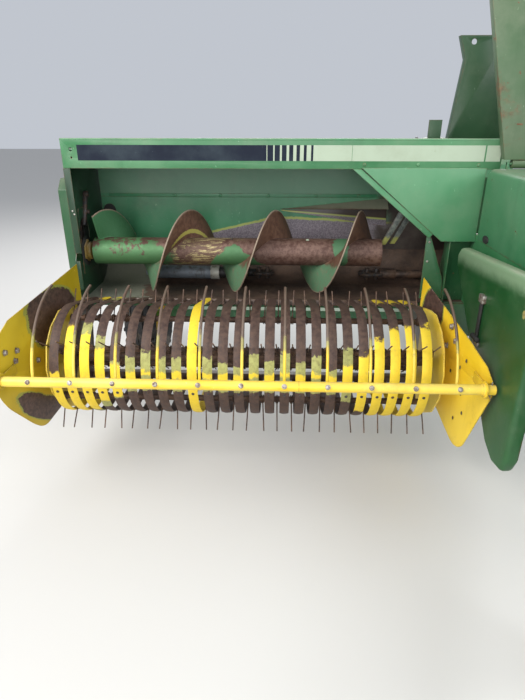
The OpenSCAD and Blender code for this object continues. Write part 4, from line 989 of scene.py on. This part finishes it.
flare_places = on_flare(left_foot, -1, (
    (-0.53, 0.62), (-0.49, 0.72), (-0.44, 0.66), (-0.42, 0.70), (-0.30, 0.60)))
inward = (math.cos(flare_a), math.sin(flare_a), 0)
finish(row_of(hex_bolt(0.020), flare_places, inward), "flare_bolts_left", bolt_steel, "pickup")
inward = (-math.cos(flare_a), math.sin(flare_a), 0)
flare_places = on_flare(right_foot, 1, ((-0.22, 0.76), (-0.27, 0.71), (-0.20, 0.66)))
finish(row_of(hex_bolt(0.022), flare_places, inward), "flare_bolts_right", bolt_steel, "pickup")
flare_places = on_flare(right_foot, 1, (
    (-0.33, 0.61), (-0.37, 0.66), (-0.26, 0.56), (-0.40, 0.42), (-0.34, 0.36), (-0.37, 0.50)))
finish(row_of(round_head(0.018), flare_places, inward), "flare_rivets_right", dark_steel, "pickup")

# --- Windguard ---
# A steel tube that floats above the swath, with thin spring rods that press the crop on the reel.
# A bolt holds each rod; a cotter pin holds the tube's right end in its plate.
guard_y, guard_z, guard_r = -0.5699, 0.628, 0.021
rods_low, rods_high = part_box("guard_rods")
rod_n, rod_pitch = 11, 0.173


def rod_ends(look, colour):
    """The rods' tips are bare: brown above, olive in the middle, yellow at the tube."""
    z = look.axis("Z") + look.noise(14.0, 5.0, 0.7) * 0.12
    colour = look.lay(colour, (0.28, 0.25, 0.06), z, 0.80, 0.83)
    return look.lay(colour, (0.085, 0.050, 0.036), z, 0.845, 0.87)


rod_paint = field_paint("rod_paint", (0.72, 0.50, 0.03), (0.76, 0.58, 0.10), rust=0.5, dust=0.2,
                        wear=rod_ends)
dress(rod_paint, "guard_rods")
rod_middle = (rods_low.x + rods_high.x) / 2
bolt_lean = Vector((0, -math.cos(math.radians(25)), math.sin(math.radians(25))))
guard_places = [Vector((rod_middle + (i - (rod_n - 1) / 2) * rod_pitch, guard_y, guard_z))
                + bolt_lean * (guard_r - 0.0005) for i in range(rod_n)]
finish(row_of(hex_bolt(0.015), guard_places, bolt_lean), "windguard_bolts", bolt_steel, "windguard")
tube_low, tube_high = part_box("windguard")
sleeves = [bar((x0, guard_y, guard_z), "X", length, guard_r + grow, 32, 0.0008) for x0, length, grow in (
    (-0.176, 0.005, 0.0006), (tube_high.x - 0.052, 0.018, 0.004), (tube_low.x + 0.02, 0.015, 0.004))]
finish(joined(sleeves), "windguard_collars", yellow_paint, "windguard")
cotter_x = tube_high.x - 0.014
cotter = joined([bar((cotter_x, guard_y, guard_z - 0.034), "Z", 0.068, 0.003, 10, 0.0008),
                 turned((cotter_x, guard_y - 0.012, guard_z - 0.036),
                        (cotter_x, guard_y + 0.012, guard_z - 0.030), 0.003, 10, 0.0008)])
finish(cotter, "windguard_cotter", bolt_steel, "windguard")

# --- Tined reel ---
# A shaft with three spiders carries four tooth bars. Pairs of spring tines are wound from wire,
# coiled round the bars, and reach out between the bands.
look, grain = worn_steel("reel_steel", 0.5, 0.3)
reel_steel = look.done(look.lay((0.055, 0.034, 0.026), (0.15, 0.085, 0.055), look.noise(22.0, 6.0, 0.7),
                                0.36, 0.66))
reel_low, reel_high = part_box("reel")
bar_at, tip_r, wire_r, reel_a = 0.190, 0.343, 0.003, math.radians(55)
bar_x0, bar_x1 = band_x0 - 0.040, band_x0 + (band_n - 1) * band_pitch + 0.040
spider_x = (bar_x0 + 0.040, (bar_x0 + bar_x1) / 2, bar_x1 - 0.040)
reel_core = (0, reel_y, reel_z)
shaft = bar((reel_low.x, reel_y, reel_z), "X", reel_high.x - reel_low.x, 0.022, 32, 0.001)
tooth_bar = bar((bar_x0, reel_y - bar_at, reel_z), "X", bar_x1 - bar_x0, 0.014, 20, 0.001)
spiders = [block((x - 0.004, reel_y - bar_at, reel_z - 0.022), (x + 0.004, reel_y, reel_z + 0.022), 0.001)
           for x in spider_x]
hubs = [bar((x - 0.014, reel_y, reel_z), "X", 0.028, 0.048, 28, 0.002) for x in spider_x]
arms = ring_of(joined([tooth_bar] + spiders), reel_core, "X", 4, reel_a)
finish(joined([shaft, arms] + hubs), "reel_bars", reel_steel, "reel", ("reel",))
tine = joined([bar((0, -bar_at, 0), "Y", bar_at - tip_r + 0.004, wire_r, 8),
               coil((-0.004, -bar_at, 0), 0.0175, wire_r), coil((0.004, -bar_at, 0), 0.0175, wire_r)])
tines = row_of(tine, [(band_x0 + (i - 0.5) * band_pitch, reel_y, reel_z) for i in range(band_n + 1)])
tines = ring_of(tines, reel_core, "X", 4, reel_a)
# Use has bent each tine a little to one side; sines of its number stand in for chance.
for point in tines.data.vertices:
    off_y, off_z = point.co.y - reel_y, point.co.z - reel_z
    if math.hypot(off_y, off_z) > bar_at + 0.03:
        row = round((math.degrees(math.atan2(off_z, off_y)) - math.degrees(reel_a)) / 90)
        number = 41 * row + round((point.co.x - band_x0) / band_pitch + 0.5)
        point.co.x += 0.013 * math.sin(7.31 * number) * math.cos(2.17 * number)
finish(tines, "reel_tines", reel_steel, "reel", ("reel",))

# --- Shield fittings ---
# A rubber strap latch with a moulded T grip holds the side shield between two steel catches. The
# upper shield has an oval rubber grommet.
case_x0, case_x1, case_z1 = 0.6950, 1.1640, 1.097
case_mid = (case_x0 + case_x1) / 2
shield_x, strap_y = 0.612, -0.285
strap, *catches = [block((shield_x + x0, strap_y - half, z0), (shield_x + x1, strap_y + half, z1), 0.003)
                   for x0, x1, half, z0, z1 in ((-0.012, -0.004, 0.013, 0.745, 0.905), (
                       -0.016, 0.002, 0.024, 0.895, 0.930), (-0.010, 0.002, 0.030, 0.700, 0.722))]
grip = bar((shield_x - 0.012, strap_y - 0.034, 0.735), "Y", 0.068, 0.011, 20, 0.004)
finish(joined([strap, grip]), "latch_strap", rubber)
finish(joined(catches), "latch_catch", bolt_steel)
grommet_y = 0.015
grommet = bar((case_x0 - 0.0085, grommet_y, 1.100), "X", 0.0055, 0.018, 28, 0.002)
there, back = Matrix.Translation((0, grommet_y, 0)), Matrix.Translation((0, -grommet_y, 0))
grommet.data.transform(there @ Matrix.Diagonal((1, 1.9, 1, 1)) @ back)
finish(grommet, "shield_grommet", rubber)

# --- Wheels and tyres ---
# Ribbed rubber implement tyres stand on pressed yellow discs. Five nuts hold each disc, and a
# turned cap closes its hub.
look = Look("tyre_rubber")
dirt, fine = look.noise(13.0, 7.0, 0.7), look.noise(120.0, 3.0, 0.6)
low_dirt = look.clamped("MULTIPLY", look.ramp(look.axis("Z"), 0.16, 0.02), dirt)
amount = look.clamped("ADD", look.ramp(dirt, 0.48, 0.75, 0.0, 0.6), low_dirt)
tyre_rubber = look.done(look.blend(amount, (0.016, 0.016, 0.017), (0.17, 0.135, 0.10)),
                        look.ramp(fine, 0.3, 0.7, 0.65, 0.9), fine, 0.25, 0.001)

axle_y, wheel_z = 1.03911, 0.35
ring_r, casing_r, casing_wide = 0.2725, 0.0725, 1.48
for hand, out in (("left", 1), ("right", -1)):
    tyre_low, tyre_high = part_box("tyre_" + hand)
    wheel_x = (tyre_low.x + tyre_high.x) / 2
    hub = (wheel_x, axle_y, wheel_z)
    casing = added(bpy.ops.mesh.primitive_torus_add, major_radius=ring_r, minor_radius=casing_r,
                   major_segments=36, minor_segments=12, location=hub, rotation=(0, math.pi / 2, 0))
    casing.scale = (1, 1, casing_wide)
    apply(casing)
    ribs = []
    for x, rib_r in ((-0.056, 0.344), (-0.019, 0.3497), (0.019, 0.3497), (0.056, 0.344)):
        rib = added(bpy.ops.mesh.primitive_cylinder_add, vertices=36, radius=rib_r, depth=0.025,
                    end_fill_type="NOTHING", location=(wheel_x + x, axle_y, wheel_z),
                    rotation=(0, math.pi / 2, 0))
        depth = rib.modifiers.new("depth", "SOLIDIFY")
        depth.thickness = 0.022
        depth.offset = -1
        ribs.append(apply(rib, depth))
    lug = joined([block((wheel_x + x - 0.013, axle_y - 0.010, wheel_z + 0.300),
                        (wheel_x + x + 0.013, axle_y + 0.010, wheel_z + 0.335), 0) for x in (-0.082, 0.082)])
    lugs = ring_of(lug, hub, "X", 24)
    finish(joined([casing, lugs] + ribs), "tyre_" + hand, tyre_rubber, "wheel_" + hand, ("tyre_" + hand,))
    nut = hex_bolt(0.026)
    nut.data.transform(Matrix.Rotation(out * math.pi / 2, 4, "Y"))
    nut.data.transform(Matrix.Translation((wheel_x + out * 0.0045, axle_y + 0.092, wheel_z)))
    nuts = ring_of(nut, hub, "X", 5)
    cap = bar((wheel_x + out * 0.034, axle_y, wheel_z), "X", out * 0.018, 0.043, 32, 0.006)
    finish(joined([nuts, cap]), "wheel_nuts_" + hand, bolt_steel, "wheel_" + hand)

# --- Bale case fittings ---
# Rows of carriage bolts hold the wear rails and knives, and bolts hold each rib at its corners
# and middle. Ribs, house frame, axle and tongue mount are welded from steel bar and tube.
rail_y = [y for y in (0.62 + 0.18 * k for k in range(9)) if not 1.74 < y < 2.08]
for hand, wall_x, facing in (("right", case_x0, (-1, 0, 0)), ("left", case_x1, (1, 0, 0))):
    rail_bolts = row_of(round_head(0.022), [(wall_x, y, z) for y in rail_y for z in (0.775, 1.055)], facing)
    finish(rail_bolts, "case_rail_bolts_" + hand, dark_steel)
rib_bolts = row_of(hex_bolt(0.019), [(x, y + 0.008, z) for y in (1.3191, 1.7291, 2.0891)
                                     for x in (case_x0 - 0.015, case_x1 + 0.015) for z in (0.76, 0.91, 1.06)],
                   (0, 1, 0))
finish(rib_bolts, "case_rib_bolts", bolt_steel)
eased("case_frame", "case_ribs", green_paint, 0.0018)
eased("house_frame", "house_frame_tubes", green_paint, 0.005, 3)
eased("axle", "axle_beam", green_paint, 0.006, 3)
eased("tongue_mount", "tongue_mount_plates", green_paint, 0.003)
eased("plunger", "plunger_block", grey_steel, 0.003)

# --- Gearbox and flywheel ---
# A cast gear case bolted to the front plate of the bale case, and a spoked cast flywheel with a
# splined input shaft. Both castings are sprayed over their rough skin.
eased("gearbox", "gear_casing", shade_green_paint, 0.005, 3)
eased("flywheel", "flywheel_casting", green_paint, 0.004, 3)
gear_z, gear_y = 0.905, -0.7412


def bolt_circle(size, radius, y, count, name, body="machine"):
    """Bolts on a circle round the input shaft, with their heads towards the tractor."""
    bolt, place = hex_bolt(size), Matrix.Translation((case_mid + radius, y, gear_z))
    bolt.data.transform(place @ Matrix.Rotation(math.pi / 2, 4, "X"))
    finish(ring_of(bolt, (case_mid, 0, gear_z), "Y", count), name, bolt_steel, body)


bolt_circle(0.024, 0.166, gear_y - 0.040, 12, "gearbox_bolts")
corner_bolts = row_of(hex_bolt(0.022), [
    (x, gear_y - 0.012, z) for x in (case_x0 - 0.012, case_mid - 0.19, case_mid + 0.19, case_x1 + 0.012)
    for z in (0.716, 1.110)], (0, -1, 0))
finish(corner_bolts, "front_plate_bolts", bolt_steel)
bolt_circle(0.020, 0.052, gear_y - 0.355, 6, "flywheel_bolts", "flywheel")
shaft_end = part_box("flywheel")[0].y
spline = block((case_mid + 0.0195, shaft_end + 0.001, gear_z - 0.003),
               (case_mid + 0.0215, shaft_end + 0.055, gear_z + 0.003), 0)
finish(ring_of(spline, (case_mid, 0, gear_z), "Y", 6), "input_splines", grey_steel, "flywheel")

# --- Hitch and jack ---
# A clevis of two flat bars ends the tongue. The screw jack is a red tube in a tube with a foot
# plate and a side crank.
red_paint = field_paint("red_paint", (0.30, 0.022, 0.014), (0.36, 0.07, 0.045), rust=0.6, dust=0.4)
eased("hitch", "hitch_clevis", grey_steel, 0.002)
eased("jack", "parking_jack", red_paint, 0.0025)

# --- Twine box fittings ---
# The tray and its lid are folded sheet. A rubber strap on a cross pin holds the lid down, and
# rivets hold the tray's back edge.
box_low, box_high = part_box("twine_box")
lid_low, lid_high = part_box("twine_lid")
box_x = (box_low.x + box_high.x) / 2
lid_strap = joined([block((box_x - 0.014, lid_high.y - 0.004, lid_low.z - 0.005),
                          (box_x + 0.014, lid_high.y - 0.001, lid_high.z - 0.004), 0.001),
                    bar((box_x - 0.03, lid_high.y - 0.003, lid_low.z + 0.006), "X", 0.06, 0.003, 12, 0.001)])
finish(lid_strap, "lid_strap", rubber, "lid")
box_rivets = row_of(round_head(0.012), [(x, box_high.y, z) for x in (box_low.x + 0.03, box_high.x - 0.03)
                                        for z in (0.82, 0.95, 1.08, 1.20)], (0, 1, 0))
finish(box_rivets, "twine_box_rivets", green_paint)

# --- Knotters, needles and star wheel ---
# Cast knotter frames with toothed discs on one shaft, over curved flat needles on a yoke. The
# star wheel rides on the bale and trips them.
eased("knotters", "knotter_frames", grey_steel, 0.002)
eased("needles", "needle_yoke", yellow_paint, 0.0018)
eased("star_wheel", "star_wheel_plate", grey_steel, 0.0012)

# --- Bale tension ---
# Two long screws with cranks squeeze the case shut through wound springs, so that the bales
# come out firm.
screw_y = 2.00911
parts, springs = [], []
for x in (case_x0 + 0.070, case_x1 - 0.070):
    parts += [bar((x, screw_y, case_z1 + low), "Z", high - low, radius, sides, ease)
              for low, high, radius, sides, ease in (
                  (0.0005, 0.300, 0.011, 20, 0.001), (0.034, 0.040, 0.031, 28, 0.001),
                  (0.190, 0.200, 0.0335, 28, 0.002), (0.200, 0.216, 0.020, 6, 0.001))]
    parts += [block((x - 0.009, screw_y - 0.119, case_z1 + 0.285),
                    (x + 0.009, screw_y + 0.009, case_z1 + 0.295), 0.002),
              bar((x, screw_y - 0.110, case_z1 + 0.292), "Z", 0.096, 0.0105, 20, 0.003)]
    wire = added(bpy.ops.mesh.primitive_circle_add, vertices=8, radius=0.0045, location=(0.0215, 0, 0),
                 rotation=(math.pi / 2, 0, 0))
    spring = wound(apply(wire), "Z", 2 * math.pi, 9, 20, 0.0158)
    spring.location = (x, screw_y, case_z1 + 0.045)
    springs.append(apply(spring))
finish(joined(parts), "tension_screw_set", grey_steel, stands_for=("tension_screws",))
finish(joined(springs), "tension_springs", dark_steel, stands_for=("tension_screws",))
